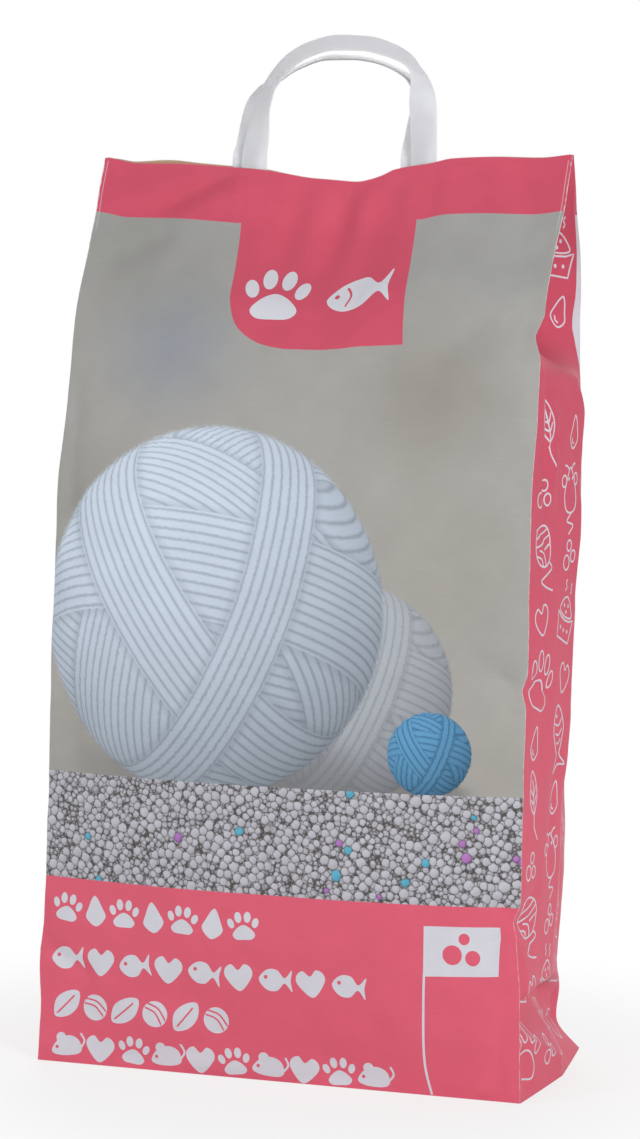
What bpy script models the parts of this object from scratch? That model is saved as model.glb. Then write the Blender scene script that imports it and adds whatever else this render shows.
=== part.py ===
"""Filled paper sack of cat litter with side gussets, a pinched top and two flat paper handles.

Metres, +Z up. The sack stands on its block bottom at z = 0, with the origin in the middle of the base.
+X points to the right of the printed front, which faces -Y.
"""
import math

import bmesh
import bpy
from mathutils import Vector

# The sack.
BAG_WIDTH = 0.220
BAG_DEPTH = 0.112
BAG_HEIGHT = 0.405
SEAM_Y = 0.0064
FRONT_BULGE = 0.0130
BACK_BULGE = 0.0100
GUSSET_OUT = 0.0115
GUSSET_TUCK = 0.0360
FOLD_DENT = 0.0045
EAR_REACH = 0.0055
TOP_DIP = 0.0117
BACK_LIP_RISE = 0.0017

# The slit between the front and back lips, which holds the handles and their patches.
LIP = 0.0007
SLIT_DEPTH = 0.0070
SLIT_END_WIDTH = 0.0005
SLIT_END_INSET = 0.0140
GAP = 0.0003

# The flat paper handles and their patches.
STRIP_WIDTH = 0.0120
STRIP_THICKNESS = 0.0007
LEG_SPACING = 0.0792
HANDLE_X = 0.0025
HANDLE_RISE = 0.0555
LEG_HIDDEN = 0.0250
BACK_LEG_SHIFT = -0.0054
BACK_RISE_LOSS = 0.0040
FRONT_LEAN = -0.0040
BACK_LEAN = 0.0140
STRAIGHT_SHARE = 0.10
PATCH_THICKNESS = 0.0005
PATCH_MARGIN = 0.0010
PATCH_BELOW_LIP = 0.0020

# How finely the sack is divided.
PANEL_STEPS = 18
GUSSET_STEPS = 6
HEIGHT_STEPS = (0.0, 0.012, 0.03, 0.055, 0.085, 0.12, 0.155, 0.19, 0.23, 0.28, 0.33, 0.385, 0.425, 0.47,
                0.53, 0.59, 0.65, 0.70, 0.74, 0.765, 0.785, 0.805, 0.83, 0.86, 0.89, 0.915, 0.94, 0.962,
                0.981, 1.0)
RIBBON_STEPS = 56

# Profiles of the sack against its height, as (share of the height, share of the size they scale).
FRONT_FOLD = ((0.0, 1.035), (0.30, 0.985), (0.49, 0.94), (0.62, 0.895), (0.72, 0.75), (0.80, 0.655),
              (0.84, 0.565), (0.89, 0.37), (0.938, 0.18), (0.97, 0.085), (1.0, 0.0))
BACK_FOLD = ((0.0, 0.93), (0.05, 0.88), (0.20, 0.83), (0.50, 0.815), (0.72, 0.78), (0.79, 0.77),
             (0.84, 0.70), (0.89, 0.53), (0.938, 0.24), (0.97, 0.12), (1.0, 0.0))
FRONT_WIDTH = ((0.0, 1.006), (0.20, 0.985), (0.60, 0.984), (0.80, 0.975), (0.87, 0.979), (0.95, 0.993),
               (1.0, 0.996))
BACK_WIDTH = ((0.0, 0.975), (0.035, 0.915), (0.075, 0.930), (0.10, 0.915), (0.16, 0.930), (0.24, 0.940),
              (0.31, 0.930), (0.36, 0.948), (0.42, 0.952), (0.72, 0.967), (0.82, 0.967), (0.94, 0.991),
              (1.0, 0.996))
FRONT_SWELL = ((0.0, 0.0), (0.07, 0.50), (0.20, 0.90), (0.33, 1.0), (0.50, 0.93), (0.65, 1.0), (0.76, 1.08),
               (0.84, 0.78), (0.90, 0.30), (0.95, 0.05), (1.0, 0.0))
GUSSET_CREASE = ((0.0, 0.46), (0.05, 0.51), (0.115, 0.28), (0.20, 0.58), (0.29, 0.66), (0.36, 0.86),
                 (0.50, 0.93), (0.72, 0.95), (0.762, 0.62))
GUSSET_FOLD = ((0.762, 0.0), (0.80, 0.62), (0.83, 0.92), (0.89, 1.0), (0.94, 0.80), (0.975, 0.22),
               (1.0, 0.0))

# The top edge, as (share of the half width, share of the dip or of the back lip's rise).
TOP_EDGE = ((-1.0, 0.0), (-0.94, 0.10), (-0.86, 0.24), (-0.68, 0.27), (-0.41, 0.44), (-0.30, 0.53),
            (-0.20, 0.68), (-0.09, 0.85), (0.01, 0.93), (0.11, 1.0), (0.165, 0.91), (0.215, 0.76),
            (0.265, 0.55), (0.31, 0.465), (0.41, 0.33), (0.51, 0.14), (0.65, 0.09), (0.86, 0.13),
            (1.0, 0.0))
BACK_LIP_EDGE = ((-1.0, 0.0), (-0.85, 0.5), (-0.72, 1.0), (-0.58, 0.5), (-0.30, 0.3), (-0.10, -0.2),
                 (0.50, -0.2), (0.72, 0.2), (1.0, 0.0))
DIP_START = 0.72
DIP_FULL = 0.93

# Dents where the right front fold was knocked in: share of the height, reach in height, share of the dent.
FOLD_DENTS = ((0.802, 0.022, 0.65), (0.432, 0.017, 0.52), (0.190, 0.017, 0.50), (0.168, 0.045, 0.32))

# Middle line of a handle: share of the leg spacing, share of the rise, and the turn of the strip's width
# out of the front's plane, in degrees.
FRONT_PATH = ((-0.500, 0.0, 0), (-0.500, 0.10, -2), (-0.479, 0.28, -14), (-0.460, 0.46, -30),
              (-0.430, 0.585, -40), (-0.406, 0.665, -44), (-0.357, 0.760, -43), (-0.285, 0.863, -43),
              (-0.157, 0.960, -46), (-0.012, 1.003, -49), (0.158, 0.993, -52), (0.289, 0.944, -57),
              (0.388, 0.877, -66), (0.443, 0.80, -76), (0.472, 0.73, -68), (0.490, 0.61, -42),
              (0.498, 0.385, -8), (0.500, 0.10, 0), (0.500, 0.0, 0))
BACK_PATH = ((-0.500, 0.0, 0), (-0.500, 0.10, 0), (-0.488, 0.22, -3), (-0.483, 0.36, -9),
             (-0.472, 0.565, -22), (-0.440, 0.690, -44), (-0.324, 0.825, -66), (-0.206, 0.930, -70),
             (-0.055, 0.997, -72), (0.095, 0.990, -76), (0.220, 0.957, -80), (0.320, 0.902, -83),
             (0.430, 0.805, -82), (0.505, 0.670, -62), (0.530, 0.500, -32), (0.518, 0.320, -8),
             (0.500, 0.10, 0), (0.500, 0.0, 0))

PINK = (0.604, 0.105, 0.163)
WHITE_PAPER = (0.640, 0.660, 0.690)
KRAFT = (0.420, 0.280, 0.170)


def clear_scene():
    for item in list(bpy.data.objects):
        bpy.data.objects.remove(item, do_unlink=True)


def paper(name, colour, roughness):
    material = bpy.data.materials.new(name)
    material.use_nodes = True
    shader = material.node_tree.nodes["Principled BSDF"]
    shader.inputs["Base Color"].default_value = (*colour, 1.0)
    shader.inputs["Roughness"].default_value = roughness
    shader.inputs["Metallic"].default_value = 0.0
    return material


def ease(x):
    x = min(max(x, 0.0), 1.0)
    return x * x * (3.0 - 2.0 * x)


def through(points, x):
    """Value at x of a smooth curve through (x, value) points that doesn't overshoot them."""
    if x <= points[0][0]:
        return points[0][1]
    if x >= points[-1][0]:
        return points[-1][1]
    k = max(i for i in range(len(points) - 1) if points[i][0] <= x)

    def rise(i):
        return (points[i + 1][1] - points[i][1]) / (points[i + 1][0] - points[i][0])

    def slope(i):
        if i == 0 or i == len(points) - 1:
            return 0.0 if len(points) < 3 else (rise(0) if i == 0 else rise(i - 1))
        before, after = rise(i - 1), rise(i)
        if before * after <= 0.0:
            return 0.0
        return 2.0 * before * after / (before + after)

    width = points[k + 1][0] - points[k][0]
    s = (x - points[k][0]) / width
    start, end = points[k][1], points[k + 1][1]
    return (start * (1 + 2 * s) * (1 - s) ** 2 + end * s * s * (3 - 2 * s)
            + width * (slope(k) * s * (1 - s) ** 2 - slope(k + 1) * s * s * (1 - s)))


# Sizes that follow from the ones above.
SLIT_WIDTH = 2 * (STRIP_THICKNESS + PATCH_THICKNESS) + 5 * GAP
HANDLE_OUTER = LEG_SPACING + STRIP_WIDTH
PATCH_HALF = HANDLE_OUTER / 2 + PATCH_MARGIN
BACK_HANDLE_X = HANDLE_X + BACK_LEG_SHIFT
POCKET_LEFT = min(HANDLE_X, BACK_HANDLE_X) - PATCH_HALF - GAP
POCKET_RIGHT = max(HANDLE_X, BACK_HANDLE_X) + PATCH_HALF + GAP
SLIT_HALF = BAG_WIDTH / 2 - SLIT_END_INSET
LEG_END = BAG_HEIGHT - TOP_DIP - LEG_HIDDEN


def dip(side):
    """How far the top edge sags at a share of the half width from -1 to 1."""
    return TOP_DIP * through(TOP_EDGE, side)


def slit_width(side):
    """Clear width of the slit: full where the handles are, almost closed at its ends."""
    reach = abs(side) * BAG_WIDTH / 2
    pocket = max(-POCKET_LEFT, POCKET_RIGHT)
    shut = ease((reach - pocket) / (SLIT_HALF - pocket))
    return SLIT_WIDTH + (SLIT_END_WIDTH - SLIT_WIDTH) * shut


def lip_y(side, back):
    half = slit_width(side) / 2 + LIP
    return SEAM_Y + (half if back else -half)


def height_at(side, t):
    return BAG_HEIGHT * t - dip(side) * ease((t - DIP_START) / (DIP_FULL - DIP_START))


def dent(t, side):
    """Inward shift of the right front fold at its dents."""
    if side <= 0:
        return 0.0
    shift = 0.0
    for place, reach, share in FOLD_DENTS:
        shift += FOLD_DENT * share * max(0.0, 1.0 - abs(t - place) / reach)
    return shift


def ear(t):
    """Corner of the block bottom that sticks out past the back fold."""
    return EAR_REACH * max(0.0, 1.0 - t / HEIGHT_STEPS[3]) ** 2


def front_corner(t, side):
    x = side * (BAG_WIDTH / 2 * through(FRONT_WIDTH, t) - dent(t, side))
    top = lip_y(side, False)
    return Vector((x, top + (-BAG_DEPTH / 2 - top) * through(FRONT_FOLD, t), height_at(side, t)))


def back_corner(t, side):
    x = side * (BAG_WIDTH / 2 * through(BACK_WIDTH, t) + ear(t) / 2)
    top = lip_y(side, True)
    return Vector((x, top + (BAG_DEPTH / 2 - top) * through(BACK_FOLD, t) + ear(t), height_at(side, t)))


def panel_point(t, u, back):
    """Point of the front or back panel, u running from the left fold at 0 to the right fold at 1."""
    corner = back_corner if back else front_corner
    left, right = corner(t, -1), corner(t, 1)
    side = 2 * u - 1
    point = left.lerp(right, u)
    swell = (1.0 - abs(side) ** 2.4) * through(FRONT_SWELL, t)
    point.y += BACK_BULGE * swell if back else -FRONT_BULGE * swell
    thicken = ease((t - DIP_FULL) / (1 - DIP_FULL))
    point.y += (lip_y(side, back) - lip_y(1, back)) * thicken
    point.z = height_at(side, t)
    if back:
        point.z += BACK_LIP_RISE * through(BACK_LIP_EDGE, side) * thicken
    return point


def gusset_point(t, w, side):
    """Point of a gusset, w running from the front fold at 0 to the back fold at 1."""
    point = front_corner(t, side).lerp(back_corner(t, side), w)
    tent = 1.0 - abs(2 * w - 1)
    out = GUSSET_OUT * through(GUSSET_CREASE, t) * (1 - ease((t - GUSSET_CREASE[-1][0]) / 0.03)) * tent ** 0.9
    point.x += side * (out - GUSSET_TUCK * through(GUSSET_FOLD, t) * tent)
    return point


def ring(t):
    """One loop round the sack, from the left front fold to the right and back round the rear."""
    points = [panel_point(t, i / PANEL_STEPS, False) for i in range(PANEL_STEPS + 1)]
    points += [gusset_point(t, i / GUSSET_STEPS, 1) for i in range(1, GUSSET_STEPS)]
    points += [panel_point(t, 1 - i / PANEL_STEPS, True) for i in range(PANEL_STEPS + 1)]
    points += [gusset_point(t, 1 - i / GUSSET_STEPS, -1) for i in range(1, GUSSET_STEPS)]
    return points


def finish_mesh(bm, name, material, smooth_angle=None):
    bmesh.ops.recalc_face_normals(bm, faces=bm.faces[:])
    mesh = bpy.data.meshes.new(name)
    bm.to_mesh(mesh)
    bm.free()
    mesh.materials.append(material)
    if smooth_angle is not None:
        mesh.shade_smooth()
        mesh.set_sharp_from_angle(angle=math.radians(smooth_angle))
    item = bpy.data.objects.new(name, mesh)
    bpy.context.collection.objects.link(item)
    return item


def slit_cutter():
    """Wedge that opens the top between the lips, with a deeper pocket for the handles and patches."""
    bm = bmesh.new()
    columns = []
    pocket_floor = LEG_END - GAP
    step = GAP / 10
    shallow = [SLIT_HALF * i / 10 for i in range(-10, 11)]
    shallow = [x for x in shallow if not POCKET_LEFT - step < x < POCKET_RIGHT + step]
    stations = [(x, False) for x in shallow + [POCKET_LEFT - step, POCKET_RIGHT + step]]
    stations += [(x, True) for x in (POCKET_LEFT, POCKET_RIGHT)]
    for x, deep in sorted(stations):
        side = x / (BAG_WIDTH / 2)
        half = slit_width(side) / 2
        floor = pocket_floor if deep else BAG_HEIGHT - dip(side) - SLIT_DEPTH
        top = BAG_HEIGHT + SLIT_DEPTH
        columns.append([bm.verts.new((x, SEAM_Y + y, z)) for y, z in
                        ((-half, floor), (half, floor), (half, top), (-half, top))])
    for a, b in zip(columns, columns[1:]):
        for i in range(4):
            j = (i + 1) % 4
            bm.faces.new((a[i], a[j], b[j], b[i]))
    bm.faces.new(columns[0])
    bm.faces.new(columns[-1])
    bmesh.ops.triangulate(bm, faces=bm.faces[:])
    cutter = finish_mesh(bm, "slit_cutter", paper("cutter", KRAFT, 0.8))
    cutter.hide_render = True
    cutter.display_type = "WIRE"
    return cutter


def build_bag():
    bm = bmesh.new()
    loops = [[bm.verts.new(p) for p in ring(t)] for t in HEIGHT_STEPS]
    count = len(loops[0])
    for low, high in zip(loops, loops[1:]):
        for i in range(count):
            j = (i + 1) % count
            bm.faces.new((low[i], low[j], high[j]))
            bm.faces.new((low[i], high[j], high[i]))
    centre = bm.verts.new((0.0, 0.0, 0.0))
    for i in range(count):
        bm.faces.new((centre, loops[0][i], loops[0][(i + 1) % count]))
    top = loops[-1]
    back_start = PANEL_STEPS + GUSSET_STEPS
    for i in range(1, PANEL_STEPS - 1):
        far = back_start + PANEL_STEPS - i
        bm.faces.new((top[i], top[i + 1], top[far - 1]))
        bm.faces.new((top[i], top[far - 1], top[far]))
    right_end = top[PANEL_STEPS - 1:back_start + 2]
    left_end = top[back_start + PANEL_STEPS - 1:] + top[:2]
    for end, pivot in ((right_end, 0), (left_end, 0)):
        for i in range(1, len(end) - 1):
            bm.faces.new((end[pivot], end[i], end[i + 1]))
    bag = finish_mesh(bm, "bag_body", paper("printed_paper", PINK, 0.55), smooth_angle=28)
    cut = bag.modifiers.new("slit", "BOOLEAN")
    cut.object = slit_cutter()
    cut.operation = "DIFFERENCE"
    cut.solver = "EXACT"
    return bag


def ribbon_frame(path, s, spacing, rise, foot):
    """Middle point and width direction of a strip at s from 0 to 1 along its path."""
    stations = [i / (len(path) - 1) for i in range(len(path))]

    def at(s):
        x = through([(p, v[0]) for p, v in zip(stations, path)], s)
        z = through([(p, v[1]) for p, v in zip(stations, path)], s)
        return Vector((x * spacing, 0.0, foot + z * rise))

    here = at(s)
    along = (at(min(s + 0.004, 1.0)) - at(max(s - 0.004, 0.0))).normalized()
    turn = math.radians(through([(p, v[2]) for p, v in zip(stations, path)], s))
    outward = along.cross(Vector((0.0, 1.0, 0.0)))
    width = outward * -math.cos(turn) + Vector((0.0, 1.0, 0.0)) * math.sin(turn)
    return here, along, width


def build_handle(name, path, x, y, lean, rise, material):
    """Flat paper strip: two straight legs in the slit and one twisted arch above them."""
    bm = bmesh.new()
    foot = BAG_HEIGHT - TOP_DIP / 2
    rows = []
    for i in range(RIBBON_STEPS + 1):
        here, along, width = ribbon_frame(path, i / RIBBON_STEPS, LEG_SPACING, rise, foot)
        here.x += x
        here.y += y + lean * max(0.0, (here.z - foot) / rise - STRAIGHT_SHARE)
        normal = along.cross(width).normalized()
        half, thin = width * (STRIP_WIDTH / 2), normal * (STRIP_THICKNESS / 2)
        rows.append([here - half - thin, here + half - thin, here + half + thin, here - half + thin])
    drop = Vector((0.0, 0.0, foot - LEG_END))
    rows.insert(0, [p - drop for p in rows[0]])
    rows.append([p - drop for p in rows[-1]])
    verts = [[bm.verts.new(p) for p in row] for row in rows]
    for a, b in zip(verts, verts[1:]):
        for i in range(4):
            j = (i + 1) % 4
            bm.faces.new((a[i], a[j], b[j]))
            bm.faces.new((a[i], b[j], b[i]))
    bm.faces.new(verts[0])
    bm.faces.new(verts[-1])
    return finish_mesh(bm, name, material, smooth_angle=35)


def build_patch(name, x, y, material):
    bm = bmesh.new()
    low = LEG_END
    high = BAG_HEIGHT - TOP_DIP - PATCH_BELOW_LIP
    bmesh.ops.create_cube(bm, size=1.0)
    for vertex in bm.verts:
        vertex.co = Vector((x + vertex.co.x * 2 * PATCH_HALF, y + vertex.co.y * PATCH_THICKNESS,
                            low + (vertex.co.z + 0.5) * (high - low)))
    return finish_mesh(bm, name, material)


def main():
    clear_scene()
    build_bag()
    white = paper("handle_paper", WHITE_PAPER, 0.6)
    brown = paper("kraft_paper", KRAFT, 0.8)
    slit_front = SEAM_Y - SLIT_WIDTH / 2
    slit_back = SEAM_Y + SLIT_WIDTH / 2
    leg = GAP + STRIP_THICKNESS / 2
    patch = 2 * GAP + STRIP_THICKNESS + PATCH_THICKNESS / 2
    build_handle("handle_front", FRONT_PATH, HANDLE_X, slit_front + leg, FRONT_LEAN,
                 HANDLE_RISE, white)
    build_handle("handle_back", BACK_PATH, BACK_HANDLE_X, slit_back - leg, BACK_LEAN,
                 HANDLE_RISE - BACK_RISE_LOSS, white)
    build_patch("handle_patch_front", HANDLE_X, slit_front + patch, brown)
    build_patch("handle_patch_back", BACK_HANDLE_X, slit_back - patch, brown)


main()
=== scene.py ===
"""Looks of a filled paper sack of cat litter: printed paper, kraft lips and flat white paper handles.

Metres, +Z up. The sack's surface is worked out from the unrolled paper: a panel is read across by a share q
and up by a share t. Print is laid out in millimetres on each panel, across from its middle and up from its
bottom edge.
"""
import math

import bmesh
import bpy
import numpy as np
from mathutils import Matrix, Vector
from mathutils.geometry import delaunay_2d_cdt


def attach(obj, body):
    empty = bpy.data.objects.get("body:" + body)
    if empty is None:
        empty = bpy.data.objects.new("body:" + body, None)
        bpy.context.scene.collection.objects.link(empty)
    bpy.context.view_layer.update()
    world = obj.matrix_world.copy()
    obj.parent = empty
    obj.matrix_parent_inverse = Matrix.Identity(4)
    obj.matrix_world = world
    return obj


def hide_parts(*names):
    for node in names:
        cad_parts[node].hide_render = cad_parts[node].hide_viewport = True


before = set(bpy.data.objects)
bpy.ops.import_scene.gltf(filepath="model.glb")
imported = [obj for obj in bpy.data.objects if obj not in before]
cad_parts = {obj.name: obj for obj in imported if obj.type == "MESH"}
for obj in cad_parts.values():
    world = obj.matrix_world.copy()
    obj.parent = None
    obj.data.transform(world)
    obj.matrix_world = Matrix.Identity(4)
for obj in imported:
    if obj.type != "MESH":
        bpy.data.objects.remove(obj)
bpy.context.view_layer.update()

MM = 0.001

# The photograph's camera.
PHOTO_HEIGHT = 1139
FOCAL_PIXELS = 3000
SENSOR = 36.0
CAMERA_YAW, CAMERA_PITCH, CAMERA_ROLL = 17.6, 3.476, 1.026
CAMERA_DISTANCE = 1.349
CAMERA_AIM = (-0.001, 0.020, 0.200)

# The sack's sizes, as the solids have them.
BAG_WIDTH = 0.220
BAG_DEPTH = 0.112
BAG_HEIGHT = 0.405
SEAM_Y = 0.0064
FRONT_BULGE = 0.0130
BACK_BULGE = 0.0100
GUSSET_OUT = 0.0115
GUSSET_TUCK = 0.0360
FOLD_DENT = 0.0045
EAR_REACH = 0.0055
EAR_HEIGHT = 0.055
TOP_DIP = 0.0117
BACK_LIP_RISE = 0.0017
LIP = 0.0007
SLIT_DEPTH = 0.0070
SLIT_END_WIDTH = 0.0005
SLIT_END_INSET = 0.0140
GAP = 0.0003
STRIP_WIDTH = 0.0120
STRIP_THICKNESS = 0.0007
LEG_SPACING = 0.0792
HANDLE_X = 0.0025
HANDLE_RISE = 0.0555
LEG_HIDDEN = 0.0250
BACK_LEG_SHIFT = -0.0054
BACK_RISE_LOSS = 0.0040
FRONT_LEAN = -0.0040
BACK_LEAN = 0.0140
STRAIGHT_SHARE = 0.10
PATCH_THICKNESS = 0.0005
PATCH_MARGIN = 0.0010

# Profiles against the height, as (share of the height, share of the size they scale).
FRONT_FOLD = (
    (0.0, 1.035), (0.30, 0.985), (0.49, 0.94), (0.62, 0.895), (0.72, 0.75), (0.80, 0.655), (0.84, 0.565),
    (0.89, 0.37), (0.938, 0.18), (0.97, 0.085), (1.0, 0.0))
BACK_FOLD = (
    (0.0, 0.93), (0.05, 0.88), (0.20, 0.83), (0.50, 0.815), (0.72, 0.78), (0.79, 0.77), (0.84, 0.70),
    (0.89, 0.53), (0.938, 0.24), (0.97, 0.12), (1.0, 0.0))
FRONT_WIDTH = ((0.0, 1.006), (0.20, 0.985), (0.60, 0.984), (0.80, 0.975), (0.87, 0.979), (0.95, 0.993),
               (1.0, 0.996))
BACK_WIDTH = (
    (0.0, 0.975), (0.035, 0.915), (0.075, 0.930), (0.10, 0.915), (0.16, 0.930), (0.24, 0.940),
    (0.31, 0.930), (0.36, 0.948), (0.42, 0.952), (0.72, 0.967), (0.82, 0.967), (0.94, 0.991),
    (1.0, 0.996))
FRONT_SWELL = (
    (0.0, 0.0), (0.07, 0.50), (0.20, 0.90), (0.33, 1.0), (0.50, 0.93), (0.65, 1.0), (0.76, 1.08),
    (0.84, 0.78), (0.90, 0.30), (0.95, 0.05), (1.0, 0.0))
GUSSET_CREASE = (
    (0.0, 0.46), (0.05, 0.51), (0.115, 0.28), (0.20, 0.58), (0.29, 0.66), (0.36, 0.86), (0.50, 0.93),
    (0.72, 0.95), (0.762, 0.62))
GUSSET_FOLD = ((0.762, 0.0), (0.80, 0.62), (0.83, 0.92), (0.89, 1.0), (0.94, 0.80), (0.975, 0.22),
               (1.0, 0.0))
TOP_EDGE = (
    (-1.0, 0.0), (-0.94, 0.10), (-0.86, 0.24), (-0.68, 0.27), (-0.41, 0.44), (-0.30, 0.53), (-0.20, 0.68),
    (-0.09, 0.85), (0.01, 0.93), (0.11, 1.0), (0.165, 0.91), (0.215, 0.76), (0.265, 0.55), (0.31, 0.465),
    (0.41, 0.33), (0.51, 0.14), (0.65, 0.09), (0.86, 0.13), (1.0, 0.0))
BACK_LIP_EDGE = ((-1.0, 0.0), (-0.85, 0.5), (-0.72, 1.0), (-0.58, 0.5), (-0.30, 0.3), (-0.10, -0.2),
                 (0.50, -0.2), (0.72, 0.2), (1.0, 0.0))
DIP_START = 0.72
DIP_FULL = 0.93
FOLD_DENTS = ((0.802, 0.022, 0.65), (0.432, 0.017, 0.52), (0.190, 0.017, 0.50), (0.168, 0.045, 0.32))
LEFT_FLARE = (0.115, 0.030, 0.0014)

# Middle line of a handle: share of the leg spacing, share of the rise, and turn in degrees.
FRONT_PATH = (
    (-0.500, 0.0, 0), (-0.500, 0.10, -2), (-0.479, 0.28, -14), (-0.460, 0.46, -30), (-0.430, 0.585, -40),
    (-0.406, 0.665, -44), (-0.357, 0.760, -43), (-0.285, 0.863, -43), (-0.157, 0.960, -46),
    (-0.012, 1.003, -49), (0.158, 0.993, -52), (0.289, 0.944, -57), (0.388, 0.877, -66),
    (0.443, 0.80, -76), (0.472, 0.73, -68), (0.490, 0.61, -42), (0.498, 0.385, -8), (0.500, 0.10, 0),
    (0.500, 0.0, 0))
BACK_PATH = (
    (-0.500, 0.0, 0), (-0.500, 0.10, 0), (-0.488, 0.22, -3), (-0.483, 0.36, -9), (-0.472, 0.565, -22),
    (-0.440, 0.690, -44), (-0.324, 0.825, -66), (-0.206, 0.930, -70), (-0.055, 0.997, -72),
    (0.095, 0.990, -76), (0.220, 0.957, -80), (0.320, 0.902, -83), (0.430, 0.805, -82),
    (0.505, 0.670, -62), (0.530, 0.500, -32), (0.518, 0.320, -8), (0.500, 0.10, 0), (0.500, 0.0, 0))

# Sizes that follow from the ones above.
SLIT_WIDTH = 2 * (STRIP_THICKNESS + PATCH_THICKNESS) + 5 * GAP
PATCH_HALF = (LEG_SPACING + STRIP_WIDTH) / 2 + PATCH_MARGIN
BACK_HANDLE_X = HANDLE_X + BACK_LEG_SHIFT
POCKET_LEFT = min(HANDLE_X, BACK_HANDLE_X) - PATCH_HALF - GAP
POCKET_RIGHT = max(HANDLE_X, BACK_HANDLE_X) + PATCH_HALF + GAP
POCKET = max(-POCKET_LEFT, POCKET_RIGHT)
SLIT_HALF = BAG_WIDTH / 2 - SLIT_END_INSET
LEG_END = BAG_HEIGHT - TOP_DIP - LEG_HIDDEN

# Print, in millimetres up from the bottom edge and across from a panel's middle.
BAND_LOW = 380.0
GRANULES_HIGH = 130.0
GRANULES_LOW = 83.0
PANEL_HALF = BAG_WIDTH / 2 / MM
GUSSET_HALF = BAG_DEPTH / 2 / MM
PAPER_HIGH = BAG_HEIGHT / MM

# Mesh: pitch of the grid, columns beside each fold, teeth of the pinked lip, and limits, in millimetres.
GRID = 2.2
FOLD_COLUMNS = (0.4, 1.1)
TOOTH_PITCH = 1.25
TOOTH = 0.45
CLEAR_OF_PRINT = 0.6
LONGEST_EDGE = 1.8
# Distances in metres: how far a fold's dent reaches, what counts as one point, and where the slit ends.
DENT_REACH = 0.030
SAME_POINT = 0.00002
SLIT_LIMIT = BAG_WIDTH / 2 * FRONT_WIDTH[-1][1] - 0.0012

# Block bottom, in millimetres: length of the folded-in end flaps, place of the side flaps' lap, how far the
# paper lifts at the lap and over an end flap, pitch of the grid, and how far the base reaches from its middle.
END_FLAP = 58.0
FLAP_LAP = 9.0
LAP_LIFT, FLAP_LIFT = 0.35, 0.21
BASE_GRID = 5.0
BASE_REACH = (120, 68)

# Inks, the top pink darkened as painted shade, and the sack's materials by number.
TOP_PINK_INK_AND_PAINTED_SHADE = (0.532, 0.076, 0.125)
LOW_PINK_INK = (0.640, 0.104, 0.160)
WHITE_INK = (0.585, 0.585, 0.638)
WORN_INK = (0.66, 0.60, 0.61)
HANDLE_INKS = ((0.555, 0.567, 0.600), (0.575, 0.587, 0.618))
HANDLE_FIBRE_INK = (0.50, 0.51, 0.53)
KRAFT_INKS = ((0.330, 0.210, 0.120), (0.520, 0.360, 0.230))
CUT_EDGE_INKS = ((0.400, 0.300, 0.220), (0.640, 0.580, 0.540))
PINK, PICTURE, GRANULES, WHITE, KRAFT_FACE, CUT_EDGE = range(6)


def ease(x):
    x = np.clip(x, 0.0, 1.0)
    return x * x * (3.0 - 2.0 * x)


def through(points, x):
    """Values at x of a smooth curve through (x, value) points that doesn't overshoot them."""
    xs, ys = np.array([p[:2] for p in points], float).T
    x = np.clip(x, xs[0], xs[-1])
    rise = np.diff(ys) / np.diff(xs)
    product = rise[:-1] * rise[1:]
    total = np.where(product > 0, rise[:-1] + rise[1:], 1.0)
    inner = np.where(product > 0, 2 * product / total, 0.0)
    slope = np.concatenate(([rise[0]], inner, [rise[-1]]))
    k = np.clip(np.searchsorted(xs, x, side="right") - 1, 0, len(xs) - 2)
    width = xs[k + 1] - xs[k]
    s = (x - xs[k]) / width
    return (ys[k] * (1 + 2 * s) * (1 - s) ** 2 + ys[k + 1] * s * s * (3 - 2 * s)
            + width * (slope[k] * s * (1 - s) ** 2 - slope[k + 1] * s * s * (1 - s)))


NOISE_SIZE = 97


def lattice_noise(x, y, seed):
    """Smooth noise from -1 to 1 with one bump to each unit."""
    table = np.random.default_rng(seed).uniform(-1, 1, (NOISE_SIZE, NOISE_SIZE))
    i, j = np.floor(x).astype(int), np.floor(y).astype(int)
    s, r = ease(x - i), ease(y - j)
    i0, i1, j0, j1 = (k % NOISE_SIZE for k in (i, i + 1, j, j + 1))
    low = table[i0, j0] * (1 - s) + table[i1, j0] * s
    high = table[i0, j1] * (1 - s) + table[i1, j1] * s
    return low * (1 - r) + high * r


def slit_width(side):
    """Clear width between the lips: full where the handles are, closed at the sack's corners."""
    reach = np.abs(side) * BAG_WIDTH / 2
    return SLIT_WIDTH + (SLIT_END_WIDTH - SLIT_WIDTH) * ease((reach - POCKET) / (SLIT_HALF - POCKET))


def lip_y(side, back):
    half = slit_width(side) / 2 + LIP
    return SEAM_Y + (half if back else -half)


def height_at(side, t):
    dip = TOP_DIP * through(TOP_EDGE, side)
    return BAG_HEIGHT * t - dip * ease((t - DIP_START) / (DIP_FULL - DIP_START))


def fold_wander(t, number):
    """Small waviness of a fold that the filling pushed out of line, in metres."""
    fade = ease(t / 0.04) * ease((1 - t) / 0.05)
    wide = lattice_noise(t * 9.0, t * 0 + number * 5.3, 11)
    fine = lattice_noise(t * 34.0, t * 0 + number * 3.1, 12)
    return (0.55 * wide + 0.22 * fine) * MM * fade


def corner(t, side, back):
    """Smooth line of a fold."""
    width, fold = (BACK_WIDTH, BACK_FOLD) if back else (FRONT_WIDTH, FRONT_FOLD)
    ear = EAR_REACH * np.maximum(0.0, 1 - t / EAR_HEIGHT) ** 2 if back else 0.0
    x = side * (BAG_WIDTH / 2 * through(width, t) + ear / 2)
    top = lip_y(side, back)
    y = top + ((BAG_DEPTH if back else -BAG_DEPTH) / 2 - top) * through(fold, t) + ear
    return np.stack([x, y, height_at(side, t)], -1)


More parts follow.
